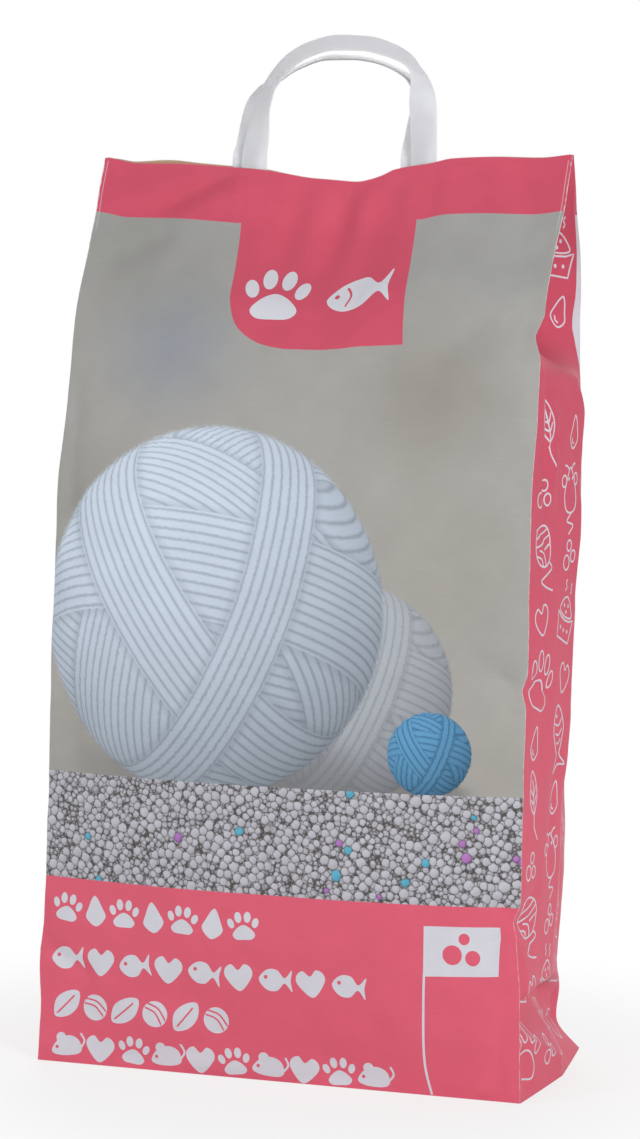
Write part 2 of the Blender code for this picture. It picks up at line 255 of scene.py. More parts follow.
def dents(t, side, back):
    """How far a fold leaves its smooth line."""
    dent = 0.0
    if side > 0 and not back:
        dent = sum(FOLD_DENT * share * np.maximum(0.0, 1 - np.abs(t - place) / reach)
                   for place, reach, share in FOLD_DENTS)
    elif not back:
        place, reach, size = LEFT_FLARE
        dent = -size * np.exp(-((t - place) / reach) ** 2)
    first = side + (9 if back else 1)
    return np.stack([side * (fold_wander(t, first) - dent), fold_wander(t, first + 4), t * 0], -1)


def pull(away):
    """Share of a fold's dent that reaches paper this far from it, in metres."""
    return (np.maximum(0.0, 1 - away / DENT_REACH) ** 1.5)[:, None]


def panel(q, t, back):
    """Front or back panel, q running from the left fold to the right fold."""
    side = 2 * q - 1
    point = corner(t, -1, back) * (1 - q)[:, None] + corner(t, 1, back) * q[:, None]
    point += dents(t, -1, back) * pull(q * BAG_WIDTH) + dents(t, 1, back) * pull((1 - q) * BAG_WIDTH)
    swell = (1.0 - np.abs(side) ** 2.4) * through(FRONT_SWELL, t)
    thicken = ease((t - DIP_FULL) / (1 - DIP_FULL))
    point[:, 1] += BACK_BULGE * swell if back else -FRONT_BULGE * swell
    point[:, 1] += (lip_y(side, back) - lip_y(1, back)) * thicken
    point[:, 2] = height_at(side, t)
    if back:
        point[:, 2] += BACK_LIP_RISE * through(BACK_LIP_EDGE, side) * thicken
    return point


def gusset(w, t, side):
    """Side gusset, w running from the front fold to the back fold."""
    point = corner(t, side, False) * (1 - w)[:, None] + corner(t, side, True) * w[:, None]
    point += dents(t, side, False) * pull(w * BAG_DEPTH) + dents(t, side, True) * pull((1 - w) * BAG_DEPTH)
    tent = 1.0 - np.abs(2 * w - 1)
    flat = 1 - ease((t - GUSSET_CREASE[-1][0]) / 0.05)
    out = GUSSET_OUT * through(GUSSET_CREASE, t) * flat * tent ** 0.9
    tuck = GUSSET_TUCK * through(GUSSET_FOLD, t) * tent
    point[:, 0] += side * (out - tuck)
    return point


def crease(x, y, x0, y0, x1, y1, depth, width, sharp):
    """Valley of this depth along a line, fading out at its ends. Millimetres."""
    length = np.hypot(x1 - x0, y1 - y0)
    across, up = (x1 - x0) / length, (y1 - y0) / length
    s = ((x - x0) * across + (y - y0) * up) / length
    d = np.abs(-(x - x0) * up + (y - y0) * across) / width
    ends = ease((s + 0.15) / 0.35) * ease((1.15 - s) / 0.35)
    return -depth * ends * (np.exp(-d) if sharp else np.exp(-d * d))


# Dents and creases of each panel: start across and up, end across and up, depth, width, and 1 for a sharp
# crease or 0 for a soft dent.
FRONT_CREASES = (
    (-46, 404, -84, 382, 2.8, 5.5, 0), (-100, 358, -70, 374, 1.6, 6.0, 0),
    (-36, 402, -72, 377, -1.3, 6.0, 0), (-62, 402, -98, 388, -1.0, 6.0, 0),
    (-52, 376, -66, 352, 1.0, 7.0, 0), (-15, 404, -18, 362, 1.6, 5.0, 0),
    (-4, 402, -6, 364, -1.2, 4.5, 0), (7, 404, 4, 357, 2.0, 5.0, 0), (18, 402, 14, 356, -1.6, 5.0, 0),
    (31, 404, 28, 348, 1.5, 6.0, 0), (-43, 404, -40, 381, 0.5, 0.9, 1), (48, 404, 51, 380, 0.5, 0.9, 1),
    (60, 402, 72, 380, 1.2, 7.0, 0), (84, 402, 100, 376, 1.2, 7.0, 0), (112, 325, 94, 332, 1.6, 2.0, 1),
    (112, 324, 98, 315, 0.9, 2.2, 1), (92, 337, 60, 313, 1.6, 6.5, 0), (102, 322, 66, 298, -1.2, 9.0, 0),
    (66, 374, 104, 356, 1.2, 8.0, 0), (56, 352, 86, 334, 1.1, 9.0, 0), (110, 176, 98, 181, 1.3, 1.8, 1),
    (110, 175, 100, 166, 0.9, 2.2, 1), (104, 178, 84, 190, 0.8, 6.0, 0), (112, 79, 92, 88, 1.6, 2.4, 1),
    (112, 76, 98, 66, 1.0, 2.6, 1), (102, 84, 96, 60, 1.2, 5.0, 0), (104, 58, 100, 6, 0.7, 4.0, 0),
    (-98, 8, -84, 64, 0.8, 8.0, 0), (-108, 52, -84, 40, 1.2, 4.0, 0), (-106, 300, -100, 220, 0.9, 5.0, 0),
    (-104, 180, -92, 120, 0.8, 6.0, 0), (-30, 340, 20, 330, 0.7, 12.0, 0),
    (-60, 30, 40, 18, 0.6, 14.0, 0))
GUSSET_CREASES = (
    (-52, 304, -20, 294, 0.9, 3.0, 1), (-54, 270, -28, 284, 1.3, 2.2, 1),
    (-54, 246, -32, 236, 1.0, 2.4, 1), (-45, 306, -43, 250, 1.5, 2.2, 1),
    (-36, 300, -34, 252, -0.8, 3.0, 0), (10, 270, 14, 214, 1.1, 2.6, 1), (24, 240, 50, 228, 1.0, 3.0, 1),
    (-52, 30, 14, 4, -3.4, 6.0, 1), (-47, 22, -43, 2, 2.4, 6.0, 0), (56, 16, 12, 22, 2.2, 3.0, 1),
    (10, 18, 8, -8, 1.6, 2.6, 1), (34, 28, 44, 20, 0.8, 3.0, 1), (10, 184, 48, 174, 1.5, 3.0, 1),
    (12, 120, 50, 130, 1.3, 3.0, 1), (-52, 182, -28, 170, 1.2, 2.5, 1), (-53, 82, -30, 90, 1.4, 3.0, 1),
    (-53, 78, -36, 64, 1.3, 3.0, 1), (16, 100, 22, 60, 1.0, 4.0, 0), (-12, 150, -16, 96, 0.9, 5.0, 0))
BACK_CREASES = (
    (-60, 402, -30, 370, 1.6, 6.5, 0), (20, 400, 14, 362, 1.6, 6.0, 0), (64, 396, 92, 372, 1.4, 6.0, 0),
    (-108, 318, -88, 326, 1.3, 2.5, 1), (108, 322, 86, 318, 1.2, 2.5, 1),
    (-106, 60, -88, 72, 1.1, 2.5, 1), (104, 52, 84, 66, 1.1, 2.5, 1), (-40, 250, 30, 262, 0.9, 14.0, 0),
    (-100, 150, -76, 170, 0.8, 8.0, 0), (96, 210, 70, 190, 0.8, 8.0, 0))
# Where a full gusset sags over its own foot: (across, up) points of the pinched line.
GUSSET_PINCH = ((-56.0, 47.0), (-22.0, 47.0), (14.0, 44.0), (56.0, 35.0))


def pinch(x, y):
    """Paper that bulges above the pinched line and tucks in sharply below it, in millimetres."""
    rise = y - through(GUSSET_PINCH, x)
    above = 2.6 * np.exp(-(rise / 15.0) ** 2)
    below = 2.6 - 11.6 * ease(-rise / 10.0)
    below = np.where(rise < -10.0, -9.0 * np.exp(-((rise + 10.0) / 12.0) ** 2), below)
    return np.where(rise > 0, above, below) * (1 - 0.65 * ease((x - 18) / 32))


class Panel:
    """One panel of the unrolled paper and what turns it into the sack's surface."""

    def __init__(self, half, surface, outward, creases, seed, bake_box, gusset_side=0):
        self.half, self.surface, self.outward = half, surface, np.array(outward)
        self.creases, self.seed, self.bake_box, self.gusset_side = creases, seed, bake_box, gusset_side

    def relief(self, x, y):
        """How far the paper stands out of its smooth form, in millimetres."""
        shape = sum(crease(x, y, *item) for item in self.creases)
        full = ease((340 - y) / 60)
        waves = ((34, 30, 0.75), (13, 12, 0.22 + 0.10 * full), (4.6, 4.6, 0.05))
        for number, (wide, high, size) in enumerate(waves):
            shape = shape + size * lattice_noise(x / wide, y / high, self.seed + number)
        if self.gusset_side:
            shape = shape + pinch(self.gusset_side * x, y)
        return shape * ease((self.half - np.abs(x)) / 6) * ease(y / 5) * ease((PAPER_HIGH + 1 - y) / 9)

    def points(self, at):
        x, y = at.T
        place = self.surface((x / self.half + 1) / 2, y / PAPER_HIGH)
        return place + self.relief(x, np.minimum(y, PAPER_HIGH))[:, None] * MM * self.outward


def swapped(creases):
    """The same creases from left to right."""
    return [(-x0, y0, -x1, y1, *rest) for x0, y0, x1, y1, *rest in creases]


PANELS = {
    "front": Panel(PANEL_HALF, lambda q, t: panel(q, t, False), (0, -1, 0), FRONT_CREASES, 21,
                   (0.005, 0.005, 0.530, 0.990)),
    "right": Panel(GUSSET_HALF, lambda q, t: gusset(q, t, 1), (1, 0, 0), GUSSET_CREASES, 31,
                   (0.540, 0.005, 0.680, 0.480), 1),
    "back": Panel(PANEL_HALF, lambda q, t: panel(1 - q, t, True), (0, 1, 0), BACK_CREASES, 41,
                  (0.540, 0.500, 0.800, 0.990)),
    "left": Panel(GUSSET_HALF, lambda q, t: gusset(1 - q, t, -1), (-1, 0, 0), swapped(GUSSET_CREASES), 51,
                  (0.690, 0.005, 0.830, 0.480), -1),
}


def spline(points, closed=False, per=6):
    """Smooth run of points through the given ones."""
    points = np.array(points, float)
    count = len(points)
    out = []
    for i in range(count if closed else count - 1):
        around = [i + k for k in (-1, 0, 1, 2)]
        a, b, c, d = (points[k % count if closed else min(max(k, 0), count - 1)] for k in around)
        for step in range(per):
            s = step / per
            out.append(0.5 * (2 * b + (c - a) * s + (2 * a - 5 * b + 4 * c - d) * s ** 2
                              + (3 * b - a - 3 * c + d) * s ** 3))
    if not closed:
        out.append(points[-1])
    return np.array(out)


def blob(half, axis=0):
    """Closed smooth outline from the half of it that ends on its line of symmetry."""
    flip = (-1, 1) if axis == 0 else (1, -1)
    other = [(p[0] * flip[0], p[1] * flip[1]) for p in half[::-1] if p[axis] != 0]
    return spline(list(half) + other, True)


def oval(x, y, rx, ry=None, count=18):
    ry = rx if ry is None else ry
    turn = np.arange(count) / count * 2 * math.pi
    return np.stack([x + rx * np.cos(turn), y + ry * np.sin(turn)], -1)


def moved(points, x, y, turn=0.0, scale=1.0):
    c, s = math.cos(math.radians(turn)) * scale, math.sin(math.radians(turn)) * scale
    points = np.asarray(points, float)
    return np.stack([points[:, 0] * c - points[:, 1] * s + x, points[:, 0] * s + points[:, 1] * c + y], -1)


def fill(points, ink):
    """Print item: a run of points, whether it is closed, the stroke's width or 0 for a fill, and ink."""
    return np.asarray(points, float), True, 0.0, ink


def stroke(points, ink, width, closed=False):
    return points, closed, width, ink


def placed(items, x, y, turn=0.0, scale=1.0):
    return [(moved(points, x, y, turn, scale), *rest) for points, *rest in items]


def line_drawing(loops, lines=(), dots=()):
    """White strokes along loops and smooth open lines, and filled dots given as (x, y, radius)."""
    return ([stroke(loop, WHITE, STROKE, True) for loop in loops]
            + [stroke(spline(line), WHITE, STROKE) for line in lines]
            + [fill(oval(*dot, count=10), WHITE) for dot in dots])


def paw(pad, outer, inner):
    """Outlines of a pad and four toes; a toe is (half width, half height, across, up, turn)."""
    toes = [moved(oval(0, 0, toe[0], toe[1]), side * toe[2], toe[3], -side * toe[4])
            for side, toe in ((-1, outer), (-1, inner), (1, inner), (1, outer))]
    return [blob(pad)] + toes


# Line drawings on the gussets, in millimetres.
STROKE = 0.82
FISH = line_drawing(
    [blob([(0, 16), (-4.8, 11.4), (-6.4, 4), (-3.4, -4.2), (-1.7, -8.6), (-7, -15), (0, -12.8)])],
    [((-4.6, 8.4), (0, 6.4), (4.6, 8.4)), ((-3.7, 3.4), (0, 1.6), (3.7, 3.4)),
     ((-2.5, -1.2), (0, -2.7), (2.5, -1.2))],
    [(-2.1, 11.4, 0.95)])
PAW = line_drawing(paw([(0, -12.4), (-6.6, -11.9), (-9.2, -6.8), (-5.2, -1.6), (0, 0.8)],
                       (2.6, 4.2, 10.0, 3.4, 18), (2.8, 4.7, 3.9, 8.9, 6)))
WOOL = line_drawing(
    [oval(0, 5.2, 9.4, count=34)],
    [((-7.4, 9.2), (-0.6, 10.6), (5.0, 12.6)), ((-8.8, 5.4), (-0.4, 6.2), (7.8, 9.6)),
     ((-8.0, 1.2), (-3.0, -0.4), (-1.8, -3.4)), ((-4.6, 3.6), (0.2, 1.8), (1.4, -3.4)),
     ((1.6, 3.4), (4.6, 4.2), (8.4, 5.2)),
     ((5.4, -2.2), (9.2, -5.4), (2.0, -8.0), (-4.4, -10.4), (1.0, -13.6), (8.4, -15.8))])
MOUSE = line_drawing(
    [blob([(0, 12.4), (-4.2, 7.4), (-7.0, 0.4), (-5.4, -6.4), (0, -8.6)]), oval(-7.6, 6.6, 2.7),
     oval(7.6, 6.6, 2.7)],
    [((0, -9.2), (-3.6, -12.2), (3.2, -14.6), (-1.6, -18.4)), ((-1.8, 11.6), (-4.6, 13.4), (-7.0, 13.6)),
     ((1.8, 11.6), (4.6, 13.4), (7.0, 13.6))],
    [(-2.3, 7.2, 0.85), (2.3, 7.2, 0.85)])
FEATHER = line_drawing(
    [blob([(0, -4), (-4.6, 2.8), (-3.8, 10.6), (0, 16.6)])],
    [((1.2, -16.6), (-1.2, -10), (0, -4.2), (0, 12.4)), ((-3.2, 8.4), (-1.6, 6.2), (-0.5, 5.2)),
     ((3.2, 8.4), (1.6, 6.2), (0.5, 5.2)), ((-3.3, 3.8), (-1.6, 1.8), (-0.5, 1.0)),
     ((3.3, 3.8), (1.6, 1.8), (0.5, 1.0))])
BOWL = line_drawing(
    [np.array([(-12.0, 0.6), (-8.8, -11.0), (8.8, -11.0), (12.0, 0.6), (6.6, -1.2), (0, -1.8),
               (-6.6, -1.2)]),
     spline([(-9.4, 1.6), (-5.4, 7.0), (0.4, 9.2), (5.6, 6.8), (9.4, 1.6), (0, -0.2)], True)],
    [((-4.6, 11.4), (-3.4, 13.2), (-4.6, 15.0), (-3.4, 16.8)),
     ((3.4, 11.4), (4.6, 13.2), (3.4, 15.0), (4.6, 16.8))],
    [(x, y, 1.0) for x, y in ((-3.4, 4.6), (2.4, 5.4), (0.2, 2.2), (-5.4, -6.0), (0, -6.4), (5.4, -6.0))])
HEART = line_drawing([blob([(0, -6.8), (-6.0, -0.6), (-6.2, 3.8), (-3.1, 5.8), (0, 3.0)])])
DROP = line_drawing([blob([(0, 7.6), (-3.5, 1.2), (-4.4, -3.2), (0, -6.8)])],
                    [((-2.0, -2.2), (-1.3, -4.0), (0.5, -4.6))])
GRAINS = line_drawing([oval(-3.5, -2.2, 3.2), oval(3.7, -1.5, 2.6), oval(0.4, 4.3, 2.4, count=14)])
LARGE = (PAW, FISH, WOOL, BOWL, FEATHER, MOUSE)
SMALL = (HEART, GRAINS, DROP)

# Motifs on a gusset: columns across and the height of a large and a small motif together.
MOTIF_COLUMNS = (-41.0, -13.5, 13.5, 41.0)
MOTIF_ROW = 53.0
MOTIF_LOW = 19.0
MOTIF_TOP = 366.0
MOTIF_TURNS = (-10, 8, 14, -16, 4, 20, -6)
# Height where the gusset starts to tuck in, and how far off each kind of motif keeps.
TUCK_START = 318.0
LARGE_CLEAR, SMALL_CLEAR = 24.0, 12.0


def gusset_print(offset):
    """Items of white line drawings, spread over a gusset."""
    items = []
    count = 0
    for i, x in enumerate(MOTIF_COLUMNS):
        y = MOTIF_LOW
        if i % 2:
            y += MOTIF_ROW / 2
            items += placed(SMALL[(i + offset) % len(SMALL)], x, MOTIF_LOW - 4, 8)
        row = 0
        while y < MOTIF_TOP:
            turn = MOTIF_TURNS[(count + offset) % len(MOTIF_TURNS)]
            if abs(y - TUCK_START) > LARGE_CLEAR:
                items += placed(LARGE[(row * 2 + i * 3 + offset) % len(LARGE)], x, y, turn, 0.94)
            between = y + MOTIF_ROW / 2
            if between < MOTIF_TOP and abs(between - TUCK_START) > SMALL_CLEAR:
                shift = 2 if i % 2 else -2
                items += placed(SMALL[(row + i + offset) % len(SMALL)], x + shift, between, -turn)
            y += MOTIF_ROW
            row += 1
            count += 1
    return items


PAW_SHAPES = paw([(0, -9.6), (-6.6, -9.2), (-9.4, -5.6), (-5.6, -0.6), (0, 2.0)],
                 (2.7, 4.0, 10.2, 3.4, 22), (2.9, 4.3, 3.9, 8.0, 6))
SOLID_PAW = [fill(shape, WHITE) for shape in PAW_SHAPES]

# Filled white icons with pink details, about 12 mm high.
ICONS = {
    "paw": placed(SOLID_PAW, 0, 0, 0, 0.56),
    "fish": [fill(blob([(-7.2, 0), (-3.6, 4.4), (1.2, 4.6), (4.6, 1.2), (8.0, 4.8), (7.4, 0)], 1), WHITE),
             fill(oval(-4.0, 1.2, 0.9, count=12), PINK)],
    "drop": [fill(blob([(0, 7.2), (-3.7, 1.4), (-4.8, -2.6), (0, -6.4)]), WHITE)],
    "heart": [fill(blob([(0, -6.4), (-6.0, -0.4), (-6.2, 3.6), (-3.1, 5.6), (0, 3.0)]), WHITE)],
    "leaf": [fill(spline([(-5.8, -5.6), (-5.2, 1.8), (0.6, 6.0), (6.2, 6.0), (5.4, -0.8), (0.4, -5.4)],
                         True), WHITE),
             stroke(spline([(-4.4, -4.2), (0.2, 0.4), (3.8, 4.2)]), PINK, 0.8)],
    "ball": [fill(oval(0, 0, 5.9, count=26), WHITE),
             stroke(spline([(-4.9, 2.2), (0, 0.6), (3.2, -3.8)]), PINK, 0.8),
             stroke(spline([(-3.4, 4.2), (1.4, 2.6), (5.0, -1.8)]), PINK, 0.8)],
    "mouse": [fill(spline([(-7.6, -2.0), (-4.4, 2.6), (1.0, 4.4), (5.6, 2.4), (6.8, -2.4), (3.6, -4.4),
                           (-4.0, -4.2)], True), WHITE),
              fill(oval(-2.6, 3.6, 2.4), WHITE), fill(oval(-5.0, -0.4, 0.8, count=12), PINK),
              stroke(spline([(6.4, -1.6), (8.6, 1.6), (7.2, 5.0)]), WHITE, 0.9)],
}
# Rows of icons on the lower pink field: height, first place across, count, pitch and kinds.
ICON_ROWS = ((69.2, -98.0, 7, 14.4, ("paw", "drop")), (47.2, -97.0, 9, 16.6, ("fish", "heart")),
             (26.4, -97.0, 6, 14.4, ("leaf", "ball")), (7.9, -96.0, 10, 15.8, ("mouse", "heart", "paw")))
ICON_TURNS = (-7, 5, 0, 8, -4)


def icon_rows():
    items = []
    for number, (y, start, count, pitch, kinds) in enumerate(ICON_ROWS):
        for i in range(count):
            x = start + i * pitch
            turn = ICON_TURNS[(i + number) % len(ICON_TURNS)]
            items += placed(ICONS[kinds[i % len(kinds)]], x, y - 0.012 * (x + 98), turn)
    return items


TAB = np.concatenate([[(43.0, BAND_LOW + 0.3), (50.2, 321.4)],
                      spline([(-4.0, 320.8), (-17.0, 323.4), (-28.0, 331.0), (-33.6, 343.0),
                              (-35.2, 351.0)]),
                      [(-39.2, BAND_LOW + 0.3)]])
TAB_FISH = [fill(blob([(-15.0, 0), (-8.0, 7.4), (2.0, 8.0), (9.4, 2.2), (15.4, 8.2), (14.0, 0)], 1), WHITE),
            stroke(spline([(-5.4, 5.0), (-3.4, 0), (-5.4, -5.0)]), PINK, 1.0),
            fill(oval(-10.2, 1.6, 1.2), PINK)]
FLAG = [(69.4, 74.0), (103.2, 74.4), (101.4, 53.6), (69.0, 52.2)]
FLAG_GRAINS = ((81.6, 62.0, 4.3), (90.6, 61.0, 3.3), (86.8, 69.0, 2.5))
POLE = spline([(69.4, 53.0), (68.8, 31.0), (69.0, 13.0), (71.4, 0.9)])


def front_print():
    items = [fill(TAB, PINK)] + placed(SOLID_PAW, -13.0, 347.0, 4, 1.16)
    items += placed(TAB_FISH, 25.0, 349.0, 6, 0.94) + icon_rows()
    items += [fill(FLAG, WHITE), stroke(POLE, WHITE, 1.05)]
    return items + [fill(oval(*grain), PINK) for grain in FLAG_GRAINS]


def back_print():
    """The back has the front's fields and icons, and its tab the other way round, with a paw alone."""
    return [fill(TAB * [-1, 1], PINK)] + placed(SOLID_PAW, -6.0, 347.0, -4, 1.16) + icon_rows()


def gusset_edges(side):
    """Slivers of the back's pale print that lap round the back fold onto a gusset."""
    edge = GUSSET_HALF - 0.02
    high = ((0, 296), (1.0, 304), (3.6, 318), (5.0, 330), (3.2, 344), (2.2, 358), (1.6, 379.6), (0, 379.6))
    low = ((0, 90), (1.6, 96), (2.0, 120), (1.7, 150), (0.8, 164), (0, 172))
    return [fill([(side * (edge - inset), y) for inset, y in points], WHITE) for points in (high, low)]


def bands(at):
    """Ground colours of the front and back panels."""
    kind = np.full(len(at), PINK)
    for top, ink in ((BAND_LOW, PICTURE), (GRANULES_HIGH, GRANULES), (GRANULES_LOW, PINK)):
        kind[at[:, 1] < top] = ink
    return kind


def all_pink(at):
    return np.full(len(at), PINK)


def finer(points, closed):
    """The same run of points with no stretch longer than the longest edge."""
    ends = np.roll(points, -1, 0) if closed else points[1:]
    out = []
    for start, end in zip(points, ends):
        count = max(1, math.ceil(np.hypot(*(end - start)) / LONGEST_EDGE))
        out += [start + (end - start) * i / count for i in range(count)]
    if not closed:
        out.append(points[-1])
    return np.array(out)


def item_edges(points, closed, width):
    """Closed runs of points along the edges of a print item."""
    if not width:
        return [points]
    if closed:
        ahead, behind = np.roll(points, -1, 0), np.roll(points, 1, 0)
    else:
        ahead = np.vstack([points[1:], points[-1:]])
        behind = np.vstack([points[:1], points[:-1]])
    along = ahead - behind
    along /= np.hypot(*along.T)[:, None] + 1e-12
    across = np.stack([-along[:, 1], along[:, 0]], -1) * width / 2
    left, right = points + across, points - across
    return [left, right] if closed else [np.vstack([left, right[::-1]])]


def distance(at, points, closed):
    """Distance of each place from a run of points."""
    ends = np.roll(points, -1, 0) if closed else points[1:]
    starts = points if closed else points[:-1]
    along = ends - starts
    length = (along ** 2).sum(1) + 1e-12
    dx, dy = at[:, :1] - starts[:, 0], at[:, 1:] - starts[:, 1]
    s = np.clip((dx * along[:, 0] + dy * along[:, 1]) / length, 0, 1)
    return np.hypot(dx - s * along[:, 0], dy - s * along[:, 1]).min(1)


def inside(at, loop):
    """Even-odd test of each place against a closed run of points."""
    x, y = at.T
    result = np.zeros(len(at), bool)
    for (x0, y0), (x1, y1) in zip(loop, np.roll(loop, -1, 0)):
        if y0 != y1:
            result ^= ((y0 > y) != (y1 > y)) & (x < (x1 - x0) * (y - y0) / (y1 - y0) + x0)
    return result


def in_box(at, points, margin):
    """Numbers of the places that lie in the box of a run of points, grown by the margin."""
    return np.flatnonzero(((at > points.min(0) - margin) & (at < points.max(0) + margin)).all(1))


def triangulate(rim, runs, loose):
    """Points and triangles inside the rim that use every run, given as (points, closed), as edges."""
    coords, edges = [], []
    for points, closed in [(rim, True)] + runs:
        base, count = len(coords), len(points)
        coords += [Vector(p) for p in points]
        edges += [(base + i, base + (i + 1) % count) for i in range(count if closed else count - 1)]
    coords += [Vector(p) for p in loose]
    flat, _, faces, _, _, _ = delaunay_2d_cdt(coords, edges, [], 0, 1e-5)
    flat = np.array([tuple(p) for p in flat])
    faces = np.array([f for f in faces if len(f) == 3])
    return flat, faces[inside(flat[faces].mean(1), rim)]


def level_heights():
    """Heights of the rows of points, with each band's edge among them."""
    marks = [0.0, GRANULES_LOW, GRANULES_HIGH, BAND_LOW, PAPER_HIGH]
    levels = []
    for low, high in zip(marks, marks[1:]):
        count = round((high - low) / GRID)
        levels += [low + (high - low) * i / count for i in range(count)]
    return levels + [PAPER_HIGH]


def panel_mesh(piece, items, ground, pinked):
    """Flat points, triangles and materials of a panel whose edges follow its print, and its top edge."""
    half = piece.half
    wide = half - FOLD_COLUMNS[-1]
    inner_columns = list(np.linspace(-wide, wide, round(2 * wide / GRID) + 1))[1:-1]
    columns = [-half] + [f - half for f in FOLD_COLUMNS] + inner_columns
    columns += [half - f for f in reversed(FOLD_COLUMNS)] + [half]
    if not any(abs(c) < 1e-6 for c in columns):
        columns = sorted(columns + [0.0])
    levels = level_heights()
    top = [(c, PAPER_HIGH) for c in columns]
    if pinked:
        steps = 2 * round(2 * (half - 1) / TOOTH_PITCH)
        top = [(-half + 1 + (2 * half - 2) * i / steps, PAPER_HIGH + (TOOTH if i % 2 else 0))
               for i in range(steps + 1)]
        top = [(-half, PAPER_HIGH)] + top + [(half, PAPER_HIGH)]
    rim = [(-half, y) for y in reversed(levels)] + [(c, 0.0) for c in columns[1:]]
    rim = np.array(rim + [(half, y) for y in levels[1:-1]] + top[::-1][:-1])
    items = [(finer(points, closed), closed, width, ink) for points, closed, width, ink in items]
    runs = [run for item in items for run in item_edges(*item[:3])]
    inner = np.array([(x, y) for x in columns[1:-1] for y in levels[1:-1]])
    keep = np.ones(len(inner), bool)
    for run in runs:
        near = in_box(inner, run, CLEAR_OF_PRINT)
        keep[near[distance(inner[near], run, True) < CLEAR_OF_PRINT]] = False
    flat, faces = triangulate(rim, [(run, True) for run in runs], inner[keep])
    middle = flat[faces].mean(1)
    kinds = ground(middle)
    for points, closed, width, ink in items:
        near = in_box(middle, points, 1.0)
        if width:
            hit = distance(middle[near], points, closed) < width * 0.5
        else:
            hit = inside(middle[near], points)
        kinds[near[hit]] = ink
    return flat, faces, kinds, np.array(top)


def add_object(name, data):
    item = bpy.data.objects.new(name, data)
    bpy.context.collection.objects.link(item)
    return item


def smooth_object(name, mesh, sharp_angle):
    mesh.shade_smooth()
    mesh.set_sharp_from_angle(angle=math.radians(sharp_angle))
    return add_object(name, mesh)


class Sack:
    """Gathers the sack's faces with their material, print place and place on the baked map."""

    def __init__(self):
        self.parts, self.count = [], 0

    def add(self, points, faces, kinds, prints, bakes, folds):
        self.parts.append((points, np.asarray(faces, int) + self.count, np.broadcast_to(kinds, len(faces)),
                           prints, bakes, np.broadcast_to(folds, len(points))))
        self.count += len(points)

    def build(self, name, materials):
        points, faces, kinds, prints, bakes, folds = (np.concatenate(part) for part in zip(*self.parts))
        mesh = bpy.data.meshes.new(name)
        mesh.from_pydata(points.tolist(), [], faces.tolist())
        mesh.polygons.foreach_set("material_index", kinds.astype(np.int32))
        for layer, values in (("print", prints), ("OFBake", bakes)):
            uv = values[faces.ravel()].astype(np.float32)
            mesh.uv_layers.new(name=layer).data.foreach_set("uv", uv.ravel())
        fold = mesh.attributes.new("fold_distance", "FLOAT", "POINT")
        fold.data.foreach_set("value", folds.astype(np.float32))
        for material in materials:
            mesh.materials.append(material)
        bm = bmesh.new()
        bm.from_mesh(mesh)
        bmesh.ops.remove_doubles(bm, verts=bm.verts[:], dist=SAME_POINT)
        bmesh.ops.recalc_face_normals(bm, faces=bm.faces[:])
        bm.to_mesh(mesh)
        bm.free()
        return smooth_object(name, mesh, 38)


def strip_between(a, b):
    """Triangles between two runs of points sorted along x, the second's numbers after the first's."""
    i, j, faces = 0, 0, []
    while i < len(a) - 1 or j < len(b) - 1:
        if j == len(b) - 1 or (i < len(a) - 1 and a[i + 1][0] <= b[j + 1][0]):
            faces.append((i, i + 1, len(a) + j))
            i += 1
        else:
            faces.append((i, len(a) + j + 1, len(a) + j))
            j += 1
    return faces


# Places on the baked map: left edge, width and height of a strip of the lips, bottom of the first strip of the
# front lip, the back lip and the slit's floor, and the box of the base as (left, bottom, wide, high).
STRIP_LEFT, STRIP_WIDE, STRIP_HIGH = 0.84, 0.15, 0.03
FRONT_STRIPS, BACK_STRIPS, FLOOR_STRIP = 0.06, 0.36, 0.20
STRIP_PITCH = 0.04
BASE_MAP = (0.845, 0.52, 0.14, 0.28)


def add_strip(sack, a, b, kind, bake_low):
    """One band of faces between two runs of 3-D points."""
    points = np.vstack([a, b])
    span = (points[:, 0] + BAG_WIDTH / 2) / BAG_WIDTH
    level = np.concatenate([np.zeros(len(a)), np.ones(len(b))])
    bakes = np.stack([STRIP_LEFT + STRIP_WIDE * np.clip(span, 0, 1), bake_low + STRIP_HIGH * level], -1)
    sack.add(points, strip_between(a, b), kind, points[:, [0, 2]], bakes, 1.0)


# The slit between the lips: places along it, half of the step at a pocket's end, and depth where both walls
# show kraft.
SLIT_STATIONS = 80
POCKET_STEP = 0.05 * MM
KRAFT_DEPTH = 1.0 * MM


